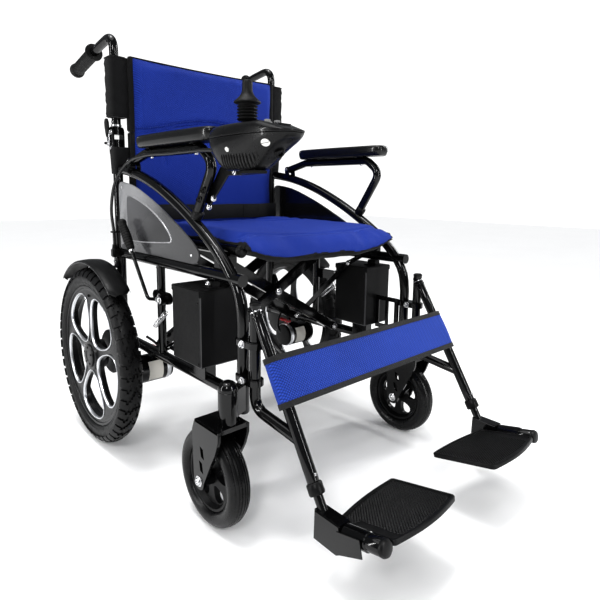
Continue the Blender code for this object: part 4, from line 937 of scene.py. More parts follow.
def drive_motor(s):
    """Gearbox behind the wheel, with the motor ahead of it and its lead."""
    x, y, z = s * WHEEL_X, WHEEL_Y, WHEEL_R
    b = Build().use("paint_satin")
    b.lathe([(0, -0.0275), (0.046, -0.0275), (0.0495, -0.0285), (0.052, -0.031), (0.052, -0.038),
             (0.0505, -0.0385), (0.0505, -0.041), (0.052, -0.0415), (0.052, -0.056),
             (0.0505, -0.0595), (0.046, -0.0615), (0, -0.0615)], (x, y, z), (s, 0, 0), 56)
    for k in range(6):
        a = radians(30 + 60 * k)
        b.bolt((x - s * 0.0608, y + 0.042 * cos(a), z + 0.042 * sin(a)), (-s, 0, 0),
               0.0032, 0.0028, washer=False)
    my, mz = MOTOR_Y, MOTOR_Z
    b.use("paint").lathe([(0, -0.033), (0.03, -0.033), (0.032, -0.036), (0.032, -0.0545),
        (0, -0.0545)], (x, my, mz), (s, 0, 0), 48)
    b.disc(0.0318, -0.0545, -0.11, (x, my, mz), (s, 0, 0), 48)
    b.use("alloy").lathe([(0, -0.1098), (0.0322, -0.1098), (0.0322, -0.1185), (0.0312, -0.12),
        (0, -0.12)], (x, my, mz), (s, 0, 0), 48)
    b.use("plastic").lathe([(0, -0.1198), (0.0305, -0.1198), (0.029, -0.1258), (0.024, -0.127),
        (0, -0.127)], (x, my, mz), (s, 0, 0), 48)
    # the blank label, a curved plate round the front of the motor
    rows = []
    for r in (0.0318, 0.0323):
        rows.append([(x + s * a, my - r * cos(t), mz + r * sin(t))
                     for a, way in ((-0.066, 1), (-0.1, -1))
                     for t in arc(-42 * way, 42 * way, 14)])
    b.use("label").skin(rows)
    b.use("paint_satin").prism(slot_plate((my, mz), (y, z), 0.026, 14), "x", s * 0.25, s * 0.272,
        0.0025, 3)
    b.use("steel").rod((x - s * 0.04, y, z), (x + s * 0.015, y, z), 0.008, 24)
    b.rod((s * 0.2, my, mz + 0.028), (s * 0.2, my, mz + 0.041), 0.004, 18)
    # motor lead up to the rail
    b.use("cable").tube(smooth_route([(x - s * 0.124, my + 0.008, mz + 0.006),
        (x - s * 0.128, my + 0.018, mz + 0.02), (x - s * 0.112, 0.162, 0.225),
        (x - s * 0.0935, 0.168, 0.242)], 0.005), 0.003, 12)
    b.sided(s, "gear_motor", "frame", "motor_case", "drive_motor")


def clutch_lever(s):
    """The lever that frees the motor from its gears."""
    y, z = MOTOR_Y, MOTOR_Z + 0.0345
    b = Build().use("red")
    b.lathe([(0.0044, 0), (0.008, 0), (0.008, 0.0052), (0.0072, 0.006), (0.0044, 0.006)],
            (s * 0.2, y, z), (0, 0, 1), 28)
    b.prism(slot_plate((s * 0.2, y + 0.006), (s * 0.2, y + 0.036), 0.0055), "z", z + 0.0005,
            z + 0.0055, 0.0012, 3)
    for k in range(3):
        b.rod((s * 0.2 - 0.004, y + 0.025 + 0.005 * k, z + 0.0056),
              (s * 0.2 + 0.004, y + 0.025 + 0.005 * k, z + 0.0056), 0.0008, 8)
    b.sided(s, "clutch_handle", "clutch", "clutch_red", "clutch_lever")


def mudguard(s):
    """A crowned guard over the rear wheel, and its stay."""
    b = Build().use("plastic")
    rings = []
    width = [(0.281, -0.0045), (0.2815, -0.0012), (0.284, 0.0002), (0.295, 0.0014),
             (0.3045, 0.0018), (0.314, 0.0014), (0.325, 0.0002), (0.3275, -0.0012),
             (0.328, -0.0045)]
    for t in spread(0, 1, 48):
        a = radians(46 + 86 * t)
        # the ends are rounded off in plan
        narrow = 1 - 0.55 * max(0.0, abs(t - 0.5) * 2 - 0.93) / 0.07
        ring = []
        for layer in (1, -1):
            for q, lift in (width if layer > 0 else list(reversed(width))):
                across = GUARD_X + (q - GUARD_X) * narrow * (1 if layer > 0 else 0.955)
                r = GUARD_R + lift + (0.0008 if layer > 0 else -0.0008)
                ring.append((s * across, WHEEL_Y + r * cos(a), WHEEL_R + r * sin(a)))
        rings.append(ring)
    b.skin(rings)
    # thin lighter lines along both rims: a painted highlight
    b.use("edge")
    for q in (0.2813, 0.3277):
        b.tube([(s * q, WHEEL_Y + 0.2163 * cos(a), WHEEL_R + 0.2163 * sin(a))
                for a in arc(48, 130, 40)], 0.0007, 8)
    b.use("paint").box((s * 0.2424, 0.24, 0.4), (s * 0.285, 0.256, 0.4045), 0.001)
    b.box((s * 0.2424, 0.24, 0.4), (s * 0.2465, 0.256, 0.4235), 0.001)
    b.bolt((s * 0.2465, 0.248, 0.4155), (s, 0, 0), 0.0035, 0.0025)
    b.use("plastic").box((s * 0.276, 0.2405, 0.4035), (s * 0.285, 0.2555, 0.4215), 0.0012)
    b.sided(s, "mudguard_shell", "frame", "mudguard_plastic", "mudguard")


# ---- cross brace --------------------------------------------------------------------
def brace(letter):
    """A pair of crossed bars with the seat rail that they carry."""
    up = 1 if letter == "a" else -1
    low, high = (-up * BRACE_X, BRACE_Z), (up * BRACE_X, SEAT_RAIL_Z)
    bars = BAR_A_Y if letter == "a" else BAR_B_Y
    b = Build().use("paint")
    b.rod((high[0], SEAT_RAIL_Y[0], high[1]), (high[0], SEAT_RAIL_Y[1], high[1]), TUBE_R, 24)
    for index, (y0, y1) in enumerate(bars):
        b.prism(slot_plate(low, high, 0.012), "y", y0, y1, 0.0022, 3)
        if letter == "a":
            far = BAR_B_Y[index][1] + 0.005
            b.rod((0, y0 - 0.005, CROSS_Z), (0, far, CROSS_Z), 0.005)
            b.lathe([(0, -0.0052), (0.0085, -0.0052), (0.0105, -0.0038), (0.011, -0.002),
                     (0.011, 0.001), (0, 0.001)], (0, y0, CROSS_Z), (0, 1, 0), 32)
            b.bolt((0, y0 - 0.005, CROSS_Z), (0, -1, 0), 0.0055, 0.0035)
            b.nut((0, far, CROSS_Z), (0, 1, 0), 0.0065, 0.004)
    b.use("plastic").lathe([(0, -0.0045), (0.005, -0.0042), (0.0085, -0.0032), (0.0105, -0.001),
        (0.0118, 0.001), (0.0118, 0.005), (0, 0.006)], (high[0], SEAT_RAIL_Y[0], high[1]),
        (0, 1, 0), 32)
    b.lathe([(0, 0.0045), (0.0085, 0.0032), (0.0118, 0.0), (0.0118, -0.004), (0, -0.004)],
            (high[0], SEAT_RAIL_Y[1], high[1]), (0, 1, 0), 32)
    b.piece(f"brace_bars_{letter}", f"brace_{letter}", "frame_paint",
            [f"cross_brace_{letter}"])


# ---- wheels -------------------------------------------------------------------------
def egg(angle, inner, outer, half_width, swell=0.3, count=40):
    """The outline of an opening between two spokes, as (y, z) from the hub."""
    middle, reach = (inner + outer) / 2, (outer - inner) / 2
    points = []
    for t in turn(count):
        along = middle + reach * cos(t)
        across = half_width * sin(t) * (1 + swell * cos(t))
        points.append((along * cos(angle) - across * sin(angle),
                       along * sin(angle) + across * cos(angle)))
    return points


def tyre_with_blocks(b, centre, s, section, bands, around, lift):
    """A tyre turned from its section, with tread blocks raised on the faces named by bands."""
    centre, axis = Vector(centre), Vector((s, 0, 0))
    bm = bmesh.new()
    count = len(section)
    rings = []
    for a in turn(around):
        out = Vector((0, cos(a), sin(a)))
        rings.append([bm.verts.new(centre + out * r + axis * w) for r, w in section])
    faces = {}
    for i in range(around):
        for j in range(count):
            a, c = rings[i], rings[(i + 1) % around]
            k = (j + 1) % count
            faces[i, j] = bm.faces.new([a[j], c[j], c[k], a[k]])
    bmesh.ops.recalc_face_normals(bm, faces=bm.faces)
    raised = [faces[i, j] for first, last, period, wide, shift in bands
              for i in range(around) for j in range(first, last + 1)
              if (i + shift * (j - first)) % period < wide]
    made = bmesh.ops.extrude_face_region(bm, geom=raised)["geom"]
    bmesh.ops.delete(bm, geom=raised, context="FACES")
    for v in (g for g in made if isinstance(g, bmesh.types.BMVert)):
        local = v.co - centre
        w = local.dot(axis)
        radial = (local - axis * w).normalized()
        heart = centre + radial * (WHEEL_R - 0.022)
        v.co += (v.co - heart).normalized() * lift
    b.take(bm)


def rear_wheel(s):
    """Tyre with tread blocks, and the five-spoke rim with bright lips round its openings."""
    centre = (s * WHEEL_X, WHEEL_Y, WHEEL_R)
    half = [(0.1628, 0.0150), (0.1645, 0.0172), (0.1685, 0.0192), (0.1740, 0.0208),
            (0.1800, 0.0214), (0.1855, 0.0208), (0.1900, 0.0192), (0.1938, 0.0168),
            (0.1968, 0.0136), (0.1990, 0.0098), (0.2003, 0.0062), (0.2009, 0.0030)]
    half = [(r - 0.0012 * min(1.0, max(0.0, (r - 0.18) / 0.008)), w) for r, w in half]
    section = [(r, -w) for r, w in half] + [(0.1998, 0.0)] + [(r, w) for r, w in reversed(half)]
    b = Build().use("tyre")
    # bands are (first face, last face, period, raised, slant)
    bands = [(5, 7, 4, 3, 0), (8, 9, 4, 2, 1), (10, 11, 6, 4, 1), (12, 13, 6, 4, -1),
             (14, 15, 4, 2, -1), (16, 18, 4, 3, 0)]
    tyre_with_blocks(b, centre, s, section, bands, TREAD_STEPS, TREAD_LIFT)
    for w in (-0.0195, 0.0195):
        b.lathe([(0.1697, w), (0.1708, w + copysign(0.0009, w)), (0.1719, w)], centre,
                (s, 0, 0), 96)
    b.sided(s, "rear_tyre_tread", "rear_wheel", "tyre_rubber", "rear_tyre", angle=32)

    b = Build().use("rim")
    b.lathe([(0, -0.0155), (0.03, -0.0155), (0.033, -0.013), (0.034, -0.002), (0.144, -0.001),
             (0.1485, -0.006), (0.1505, -0.0155), (0.1615, -0.0155), (0.1625, -0.0145),
             (0.1625, 0.0145), (0.1615, 0.0155), (0.1565, 0.0155), (0.155, 0.0135),
             (0.1518, 0.0128), (0.149, 0.0135), (0.1, 0.0108), (0.05, 0.0118), (0.036, 0.0125),
             (0.034, 0.0165), (0.03, 0.0175), (0, 0.0175)], centre, (s, 0, 0), 120)
    eggs = [[(WHEEL_Y + a, WHEEL_R + c) for a, c in
             egg(radians(270 + SPOKE_TURN * k), 0.038, 0.1475, 0.0560, 0.42, 48)]
            for k in range(SPOKES)]
    low, high = sorted((centre[0] - s * 0.03, centre[0] + s * 0.04))
    b.cut([(outline, "x", low, high) for outline in eggs])
    b.use("alloy")
    for outline in eggs:
        at = centre[0]
        b.band(outline, "x", [(-0.0005, at + s * 0.0085), (-0.0009, at + s * 0.0115),
            (0.0004, at + s * 0.0142), (0.0022, at + s * 0.0147), (0.0030, at + s * 0.0140),
            (0.0030, at + s * 0.0085)])
    b.use("rim").lathe([(0, 0.0175), (0.026, 0.0175), (0.0272, 0.0188), (0.0262, 0.0212),
        (0.02, 0.0222), (0.0125, 0.0224), (0.012, 0.0212), (0, 0.0212)], centre, (s, 0, 0), 48)
    for k in range(SPOKES):
        a = radians(90 + SPOKE_TURN * k)
        b.bolt((centre[0] + s * 0.0214, WHEEL_Y + 0.0195 * cos(a),
                WHEEL_R + 0.0195 * sin(a)), (s, 0, 0), 0.0028, 0.002, washer=False,
               key="plastic")
    # valve
    b.use("plastic").rod((centre[0] + s * 0.004, WHEEL_Y, WHEEL_R + 0.1495),
        (centre[0] + s * 0.016, WHEEL_Y, WHEEL_R + 0.139), 0.0026, 12)
    b.sided(s, "rear_rim_spokes", "rear_wheel", "rim_alloy", "rear_rim", angle=32)


def caster(s):
    """Ribbed tyre, spoked rim and pressed fork."""
    x = s * CASTER_X
    centre = (x, CASTER_Y, CASTER_R)
    b = Build().use("tyre_smooth")
    half = [(0.0604, 0.0135), (0.0618, 0.0162), (0.0645, 0.0185), (0.0685, 0.0203),
            (0.0725, 0.0209), (0.0765, 0.0206), (0.0798, 0.0194), (0.0826, 0.0174),
            (0.0846, 0.0149), (0.0833, 0.0139), (0.0842, 0.0127), (0.0862, 0.0119),
            (0.0872, 0.0098), (0.0858, 0.0089), (0.0863, 0.0077), (0.0879, 0.0069),
            (0.0884, 0.0047), (0.0870, 0.0038), (0.0870, 0.0026), (0.0885, 0.0017)]
    b.lathe(mirrored(half), centre, (1, 0, 0), 96)
    b.sided(s, "caster_tyre_ribbed", "caster_wheel", "tyre_rubber", "caster_tyre")

    b = Build().use("plastic")
    b.lathe(mirrored([(0, 0.024), (0.0108, 0.024), (0.012, 0.0228), (0.0135, 0.0065),
                      (0.0495, 0.005), (0.0525, 0.0105), (0.0545, 0.0135), (0.0585, 0.0138),
                      (0.06, 0.0128)]), centre, (1, 0, 0), 72)
    cuts = []
    for k in range(SPOKES):
        shape = egg(radians(90 + SPOKE_TURN * k), 0.0175, 0.0485, 0.0125, 0.45, 24)
        cuts.append(([(CASTER_Y + a, CASTER_R + c) for a, c in shape], "x", x - 0.02, x + 0.02))
    b.cut(cuts)
    b.sided(s, "caster_rim_spoked", "caster_wheel", "caster_rim_plastic", "caster_rim", angle=32)

    b = Build().use("paint")
    for side in (-1, 1):
        inner = x + side * FORK_INSIDE
        leg = [(STEM_Y - 0.018, FORK_TOP - 0.001), (CASTER_Y + 0.012, FORK_TOP - 0.001),
               (CASTER_Y + 0.0205, 0.178), (CASTER_Y + 0.02, 0.16), (CASTER_Y + 0.0165, CASTER_R)]
        leg += [(CASTER_Y + 0.0155 * cos(a), CASTER_R + 0.0155 * sin(a))
                for a in arc(0, -180, 12)]
        leg += [(STEM_Y + 0.004, 0.135), (STEM_Y - 0.009, 0.158), (STEM_Y - 0.0175, 0.182)]
        leg = list(dict.fromkeys(leg))
        part = Build().use("paint")
        part.prism(leg, "x", inner, x + side * FORK_OUTSIDE, 0.0012)
        low, high = sorted((inner - side * 0.01, inner + side * 0.02))
        part.cut([([(y0, z0), (y0 + 0.0095, z0 + 0.003), (y0 + 0.013, z0 + 0.021),
                    (y0 + 0.0035, z0 + 0.018)], "x", low, high)
                  for y0, z0 in ((CASTER_Y - 0.0145, 0.1075), (CASTER_Y - 0.0175, 0.134))])
        b.absorb(part)
        b.disc(0.009, 0, 0.0005, (x + side * FORK_OUTSIDE, CASTER_Y, CASTER_R), (side, 0, 0), 28)
        b.bolt((x + side * 0.0318, CASTER_Y, CASTER_R), (side, 0, 0), 0.0065, 0.0042)
    plate = [(STEM_Y - 0.018, FORK_TOP - 0.007), (STEM_Y - 0.0165, FORK_TOP),
             (CASTER_Y + 0.0105, FORK_TOP), (CASTER_Y + 0.0125, FORK_TOP - 0.007)]
    b.prism(plate, "x", x - FORK_OUTSIDE, x + FORK_OUTSIDE, 0.0016, 3)
    b.use("steel").rod((x - 0.0355, CASTER_Y, CASTER_R), (x + 0.0355, CASTER_Y, CASTER_R), 0.005)
    b.rod((x, STEM_Y, FORK_TOP - 0.003), (x, STEM_Y, 0.212), 0.0062)
    b.use("paint").disc(0.0145, 0.1992, 0.2012, (x, STEM_Y, 0), (0, 0, 1), 32)
    b.sided(s, "caster_fork_plate", "caster_fork", "frame_paint", "caster_fork", angle=32)


# ---- backrest frame -----------------------------------------------------------------
def back_post(s):
    """The back tube, bent into the push handle, with its grip."""
    x = s * TUBE_X
    b = Build().use("paint")
    path = rounded([(x, BACK_Y, BACK_HINGE_Z - 0.0065), (x, BACK_Y, HANDLE_Z + 0.012),
                    (x, 0.33, HANDLE_Z), (x, HANDLE_END_Y, HANDLE_Z - 0.031)], 0.05, 10)
    b.tube(path, 0.010, 24)
    b.use("steel").lathe([(0.0101, 0), (0.0114, 0.0005), (0.0114, 0.0045), (0.0101, 0.005)],
        (x, BACK_Y, 0.728), (0, 0, 1), 32)
    b.bolt((x - 0.0098, BACK_Y, 0.738), (-1, 0, 0), 0.003, 0.0022, washer=False)
    b.sided(s, "back_tube", "back", "frame_paint", "back_post")
    end = Vector((x, HANDLE_END_Y, HANDLE_Z - 0.031))
    along = (end - Vector((x, 0.33, HANDLE_Z))).normalized()
    start = end - along * 0.123
    b = Build().use("rubber")
    profile = [(0.0105, 0), (0.0150, 0), (0.0205, 0.0012), (0.0208, 0.0048), (0.0150, 0.0062)]
    at = 0.008
    while at < 0.112:
        profile += [(0.0149, at), (0.0155, at + 0.0012), (0.0155, at + 0.0048),
                    (0.0149, at + 0.006)]
        at += 0.0068
    profile += [(0.0152, 0.116), (0.0180, 0.1195), (0.0184, 0.1235), (0.0178, 0.127),
                (0.0155, 0.1298), (0.010, 0.1312), (0, 0.1316)]
    b.lathe([(0, 0.108), (0.0105, 0.108)] + profile, start, along, 40)
    b.sided(s, "hand_grip", "back", "grip_rubber", "push_grip")


def latch(s):
    """The grip that frees the folding back."""
    b = Build().use("steel")
    x0 = s * (TUBE_X + 0.0147)
    b.prism([(0.2515, 0.684), (0.2625, 0.684), (0.2642, 0.7), (0.2655, 0.715), (0.2525, 0.715),
             (0.2508, 0.7)], "x", x0, x0 + s * 0.0035, 0.0006)
    b.bolt((x0 + s * 0.0035, 0.257, 0.69), (s, 0, 0), 0.0042, 0.003)
    b.use("rubber")
    grip = [Vector((s * (TUBE_X + 0.0178), y, z)) for y, z in
            ((0.2585, 0.706), (0.2598, 0.716), (0.2612, 0.728), (0.2625, 0.738), (0.2632, 0.7445))]
    b.tube(grip, [0.0048, 0.0058, 0.0066, 0.0064, 0.0046], 20, dome=True, flat=0.8,
           up=(1, 0, 0))
    b.sided(s, "latch_grip", "latch", "controller_plastic", "back_latch")


# ---- soft goods ---------------------------------------------------------------------
def slab_object(name, rings):
    """A closed temporary body from a stack of outlines."""
    b = Build()
    b.use("blue").skin(rings)
    return b.to_object(name)


def baked(obj):
    """Applies every modifier."""
    graph = bpy.context.evaluated_depsgraph_get()
    mesh = bpy.data.meshes.new_from_object(obj.evaluated_get(graph))
    obj.modifiers.clear()
    obj.data = mesh


def puff(obj, cap, share):
    """Remeshes a body evenly and swells it as cloth under pressure, by at most cap. share is
    how much of the movement is kept along x, y and z, so that the sewn outline stays put."""
    remesh = obj.modifiers.new("even", "REMESH")
    remesh.mode = "VOXEL"
    remesh.voxel_size = CLOTH_VOXEL
    bpy.context.view_layer.update()
    baked(obj)
    rest = [v.co.copy() for v in obj.data.vertices]
    cloth = obj.modifiers.new("cloth", "CLOTH")
    cloth.settings.use_pressure = True
    cloth.settings.uniform_pressure_force = CLOTH_PRESSURE
    cloth.settings.effector_weights.gravity = 0
    scene = bpy.context.scene
    for step in range(1, CLOTH_FRAMES + 1):
        scene.frame_set(step)
    baked(obj)
    scene.frame_set(1)
    for v, start in zip(obj.data.vertices, rest):
        move = Vector(a * b for a, b in zip(v.co - start, share))
        v.co = start + move
        if move.length > cap:
            v.co = start + move.normalized() * cap
    relax = obj.modifiers.new("relax", "SMOOTH")
    relax.factor, relax.iterations = 0.5, 2
    fine = obj.modifiers.new("fine", "SUBSURF")
    fine.levels = fine.render_levels = 1
    bpy.context.view_layer.update()
    baked(obj)


def restretched(obj, axis, ends, low, high):
    """Draws a swollen panel back out to the outline it is sewn to: ends along x, and
    low(x) to high(x) along the other axis."""
    bins = 44
    verts = obj.data.vertices
    first, last = min(v.co.x for v in verts), max(v.co.x for v in verts)
    span = ends[1] - ends[0]
    floor, roof = [9.0] * bins, [-9.0] * bins
    for v in verts:
        v.co.x = ends[0] + (v.co.x - first) * span / (last - first)
        k = min(bins - 1, int((v.co.x - ends[0]) / span * bins))
        floor[k], roof[k] = min(floor[k], v.co[axis]), max(roof[k], v.co[axis])
    for v in verts:
        at = min(bins - 3.01, max(2.0, (v.co.x - ends[0]) / span * bins - 0.5))
        k, t = int(at), at - int(at)
        bottom = floor[k] * (1 - t) + floor[k + 1] * t
        top = roof[k] * (1 - t) + roof[k + 1] * t
        lowest, highest = low(v.co.x), high(v.co.x)
        v.co[axis] = lowest + (v.co[axis] - bottom) * (highest - lowest) / (top - bottom)


def sampled(path, step=0.003):
    """Points along a path no further apart than the step."""
    out = []
    for a, b in zip(path, path[1:]):
        a, b = Vector(a), Vector(b)
        count = max(1, int((b - a).length / step))
        out += [a + (b - a) * (k / count) for k in range(count)]
    return out + [Vector(path[-1])]


def groove(obj, line, depth, width):
    """Draws the surface in along a sewn line, laid on it first."""
    spots = sampled([p for p, _ in surface_points(obj, [Vector(q) for q in line])])
    tree = kdtree.KDTree(len(spots))
    for i, p in enumerate(spots):
        tree.insert(p, i)
    tree.balance()
    moves = []
    for v in obj.data.vertices:
        _, _, far = tree.find(v.co)
        if far < width * 3:
            moves.append((v, v.normal.copy() * depth * exp(-(far / width) ** 2)))
    for v, move in moves:
        v.co -= move


def surface_points(obj, path, lift=0.0):
    """The path dropped on to the nearest surface, with the normals there."""
    tree = BVHTree.FromObject(obj, bpy.context.evaluated_depsgraph_get())
    out = []
    for p in path:
        spot, normal, _, _ = tree.find_nearest(p)
        out.append((spot + normal * lift, normal))
    return out


def stitches(b, obj, path, pitch=0.0042, long=0.0027):
    """A row of short thread stitches on the surface."""
    radius = 0.00045
    spots = surface_points(obj, sampled(path, 0.0007), radius * 0.5)
    travelled, start = 0.0, spots[0][0]
    for (a, _), (c, _) in zip(spots, spots[1:]):
        travelled += (c - a).length
        if travelled > pitch:
            travelled, start = 0.0, c
        elif travelled > long and start is not None and (a - start).length > long * 0.5:
            b.tube([start, (start + a) / 2, a], radius, 6)
            start = None
        if start is None and travelled <= (c - a).length:
            start = c


def tape(b, obj, path, lift, width):
    """Binding tape along a path on the surface, facing outwards."""
    edge = surface_points(obj, path, lift)
    b.ribbon([p for p, _ in edge], [n for _, n in edge], width, 0.0018)


def paint_faces(obj, keys, choose):
    """Gives each face the material that choose(centre, normal) names."""
    obj.data.materials.clear()
    for key in keys:
        obj.data.materials.append(M[key])
    for face in obj.data.polygons:
        face.material_index = keys.index(choose(face.center, face.normal))


def soft_piece(obj, name, body, replaces):
    """Moves a finished soft body into place and names it."""
    obj.name = obj.data.name = name
    for v in obj.data.vertices:
        v.co.y += Y0
    obj.data.shade_smooth()
    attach(obj, body)
    if replaces:
        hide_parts(*replaces)
    return obj


def squash_x(obj):
    """Gives the piece a mesh of its own."""
    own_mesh(obj)


def seat():
    """The seat: hung between the rails, with a rolled front that droops in the middle."""
    over = SEAT_RAIL_Z + 0.0126
    section = [(-0.202, over + 0.001), (-0.19, over + 0.001), (-0.17, 0.4815), (-0.14, 0.471),
               (-0.1, 0.466), (0, 0.4645), (0.1, 0.466), (0.14, 0.471), (0.17, 0.4815),
               (0.19, over + 0.001), (0.202, over + 0.001), (0.2035, 0.499), (0.19, 0.504),
               (0.1, 0.4965), (0, 0.4935), (-0.1, 0.4965), (-0.19, 0.504), (-0.2035, 0.499)]
    rings = []
    for y, droop, pinch in ((-0.2225, 0.012, 0.6), (-0.219, 0.0095, 0.88), (-0.212, 0.0065, 1.0),
            (-0.2, 0.0035, 1.03), (-0.17, 0.0005, 1.0), (-0.1, -0.001, 1.0), (0.0, -0.002, 1.0),
            (0.17, -0.004, 1.0), (0.2, -0.003, 0.96), (0.2055, -0.002, 0.75)):
        ring = []
        for x, z in section:
            middle = 0.4795 + 0.02 * min(1.0, abs(x) / 0.2) ** 3
            ring.append((x * (1 - 0.012 * (1 - pinch)), y, middle + (z - middle) * pinch - droop))
        rings.append(ring)
    obj = slab_object("seat", rings)
    puff(obj, 0.010, (0.05, 0.35, 1.0))
    restretched(obj, 1, (-0.2065, 0.2065), lambda x: -0.2245, lambda x: 0.2095)
    # sewn lines: two along the front, channels round the rear corners
    front = [(-0.2 + 0.4 * t, -0.183 - 0.004 * sin(pi * t), 0.503)
             for t in spread(0, 1, 40)]
    second = [(x, y - 0.0075, z - 0.001) for x, y, z in front]
    arcs = []
    for s in (-1, 1):
        for r in (0.092, 0.128):
            arcs.append([(s * (0.206 - r * cos(a)), 0.206 - r * sin(a) * 1.15, 0.503)
                         for a in arc(4, 86, 20)])
    for line in [front, second] + arcs:
        depth, width = (0.0044, 0.0042) if len(line) > 30 else (0.0062, 0.0075)
        groove(obj, line, depth, width)
    wavy = lambda y: 0.4905 + 0.0025 * sin(y * 46)
    paint_faces(obj, ["blue", "black_cloth", "binding"],
                lambda c, n: "black_cloth" if n.z < -0.45
                else "binding" if abs(c.x) > 0.2 and c.z < wavy(c.y) + 0.006 else "blue")
    b = Build().use("thread")
    for line in (front, second):
        stitches(b, obj, line)
    for line in arcs:
        stitches(b, obj, line, pitch=0.0055, long=0.0036)
    # binding tape round the lower front edge and along both sides
    b.use("binding")
    lower = []
    for t in spread(-1, 1, 60):
        x = 0.2035 * t
        rise = 0.0275 * min(1.0, abs(x) / 0.19) ** 2.4
        lower.append(Vector((x, -0.222 + 0.003 * abs(t) ** 6, 0.4505 + rise)))
    tape(b, obj, lower, 0.0006, 0.0095)
    for s in (-1, 1):
        path = [Vector((s * 0.209, y, wavy(y))) for y in spread(-0.216, 0.204, 60)]
        tape(b, obj, path, 0.0005, 0.0105)
    trim = b.piece("seat_trim", "seat", "webbing", angle=50)
    obj = soft_piece(obj, "seat_cushion_cover", "seat", ["seat_cushion"])
    for part in (obj, trim):
        squash_x(part)


def seam_z(x):
    """Height of the arched seam across the backrest."""
    knots = [(0.0, 0.751), (0.035, 0.7495), (0.07, 0.744), (0.105, 0.7345), (0.14, 0.7245),
             (0.17, 0.719), (0.2, 0.7165), (0.25, 0.7155)]
    a = abs(x)
    for (x0, z0), (x1, z1) in zip(knots, knots[1:]):
        if a <= x1:
            return z0 + (z1 - z0) * (a - x0) / (x1 - x0)
    return knots[-1][1]


def back_panel(name, x0, x1, low, high, y0, y1):
    """A padded panel between two heights, each a function of x, thinner at its edges."""
    count, inset = 40, 0.004
    outline = [(x, low(x) + inset) for x in spread(x0, x1, count)]
    outline += [(x, high(x) - inset) for x in spread(x1, x0, count)]
    cx, cz = (x0 + x1) / 2, sum(z for _, z in outline) / len(outline)
    rings = []
    middle = (y0 + y1) / 2
    for y, grow in ((y0 + 0.001, 0.972), (y0 + 0.004, 0.992), (middle, 1.0),
                    (y1 - 0.003, 0.992), (y1 - 0.001, 0.975)):
        rings.append([(cx + (x - cx) * grow, y, cz + (z - cz) * grow) for x, z in outline])
    return slab_object(name, rings)


def backrest():
    """Two padded panels that meet at the arched seam, with their binding and stitches."""
    front, rear = UPHOLSTERY_Y
    left, right = -0.2055, 0.2055
    lower = back_panel("lower", left, right, lambda x: 0.501, lambda x: seam_z(x) - 0.0005,
                       front + 0.005, rear - 0.004)
    puff(lower, 0.006, (0.05, 1.0, 0.05))
    restretched(lower, 2, (left, right), lambda x: 0.5, lambda x: seam_z(x) + 0.0022)
    upper = back_panel("upper", left, right, lambda x: seam_z(x) + 0.001,
                       lambda x: 0.8805 - 0.003 * (1 - (x / 0.21) ** 2), front + 0.003,
                       rear - 0.003)
    puff(upper, 0.010, (0.05, 1.0, 0.05))
    restretched(upper, 2, (left, right), lambda x: seam_z(x) - 0.0022,
                lambda x: 0.8818 - 0.003 * (1 - (x / 0.207) ** 2))
    for panel, lift in ((lower, -0.0035), (upper, 0.0035)):
        seam = [Vector((x, front, seam_z(x) + lift)) for x in spread(-0.2, 0.2, 50)]
        groove(panel, seam, 0.0042, 0.0042)
    side_arcs = []
    for s in (-1, 1):
        side_arcs.append([(s * (0.203 - 0.075 * sin(a)), front, 0.7035 - 0.055 * (1 - cos(a)))
                          for a in arc(0, 90, 16)])
    for line in side_arcs:
        groove(lower, line, 0.003, 0.0055)
    for panel in (lower, upper):
        paint_faces(panel, ["blue", "black_cloth"],
                    lambda c, n: "black_cloth" if n.y > 0.35 else "blue")

    top, low = Build().use("binding"), Build().use("binding")
    for s in (-1, 1):
        x = s * 0.2065
        path = [Vector((x, front + 0.006, z)) for z in (0.7168, 0.76, 0.80, 0.84, 0.874, 0.8815)]
        top.ribbon(path, (0, -1, 0), 0.011, 0.0045)
        path = [Vector((x, front + 0.0075, z)) for z in (0.503, 0.56, 0.62, 0.68, 0.716)]
        low.ribbon(path, (0, -1, 0), 0.011, 0.0045)
        # cloth that carries the panel back to the post
        top.use("black_cloth").box((s * 0.2015, front + 0.0065, 0.7172),
            (s * 0.2135, rear - 0.002, 0.8795), 0.0025, 3)
        low.use("black_cloth").box((s * 0.2015, front + 0.0085, 0.503),
            (s * 0.2125, rear - 0.002, 0.7162), 0.0025, 3)
        top.use("binding")
        low.use("binding")
    edge = [Vector((-0.207 * t, (front + rear) / 2, 0.882 - 0.003 * (1 - t ** 2)))
            for t in spread(1, -1, 40)]
    top.ribbon(edge, (0, 0, 1), 0.0135, 0.003)
    hem = [Vector((x, (front + rear) / 2 + 0.001, 0.5015)) for x in spread(-0.207, 0.207, 20)]
    low.ribbon(hem, (0, 0, -1), 0.0125, 0.003)
    top.use("thread")
    stitches(top, upper, [(x, front - 0.002, seam_z(x) + 0.0075)
                          for x in spread(-0.198, 0.198, 60)])
    low.use("thread")
    for line in side_arcs:
        stitches(low, lower, line)
    top = top.piece("back_trim_upper", "back_right", "webbing", angle=50)
    low = low.piece("back_trim_lower", "frame_right", "webbing", angle=50)
    upper = soft_piece(upper, "back_cover_upper", "back_right",
                       ["back_upholstery_upper"])
    lower = soft_piece(lower, "back_cover_lower", "frame_right",
                       ["back_upholstery_lower"])
    for part in (top, low, upper, lower):
        squash_x(part)


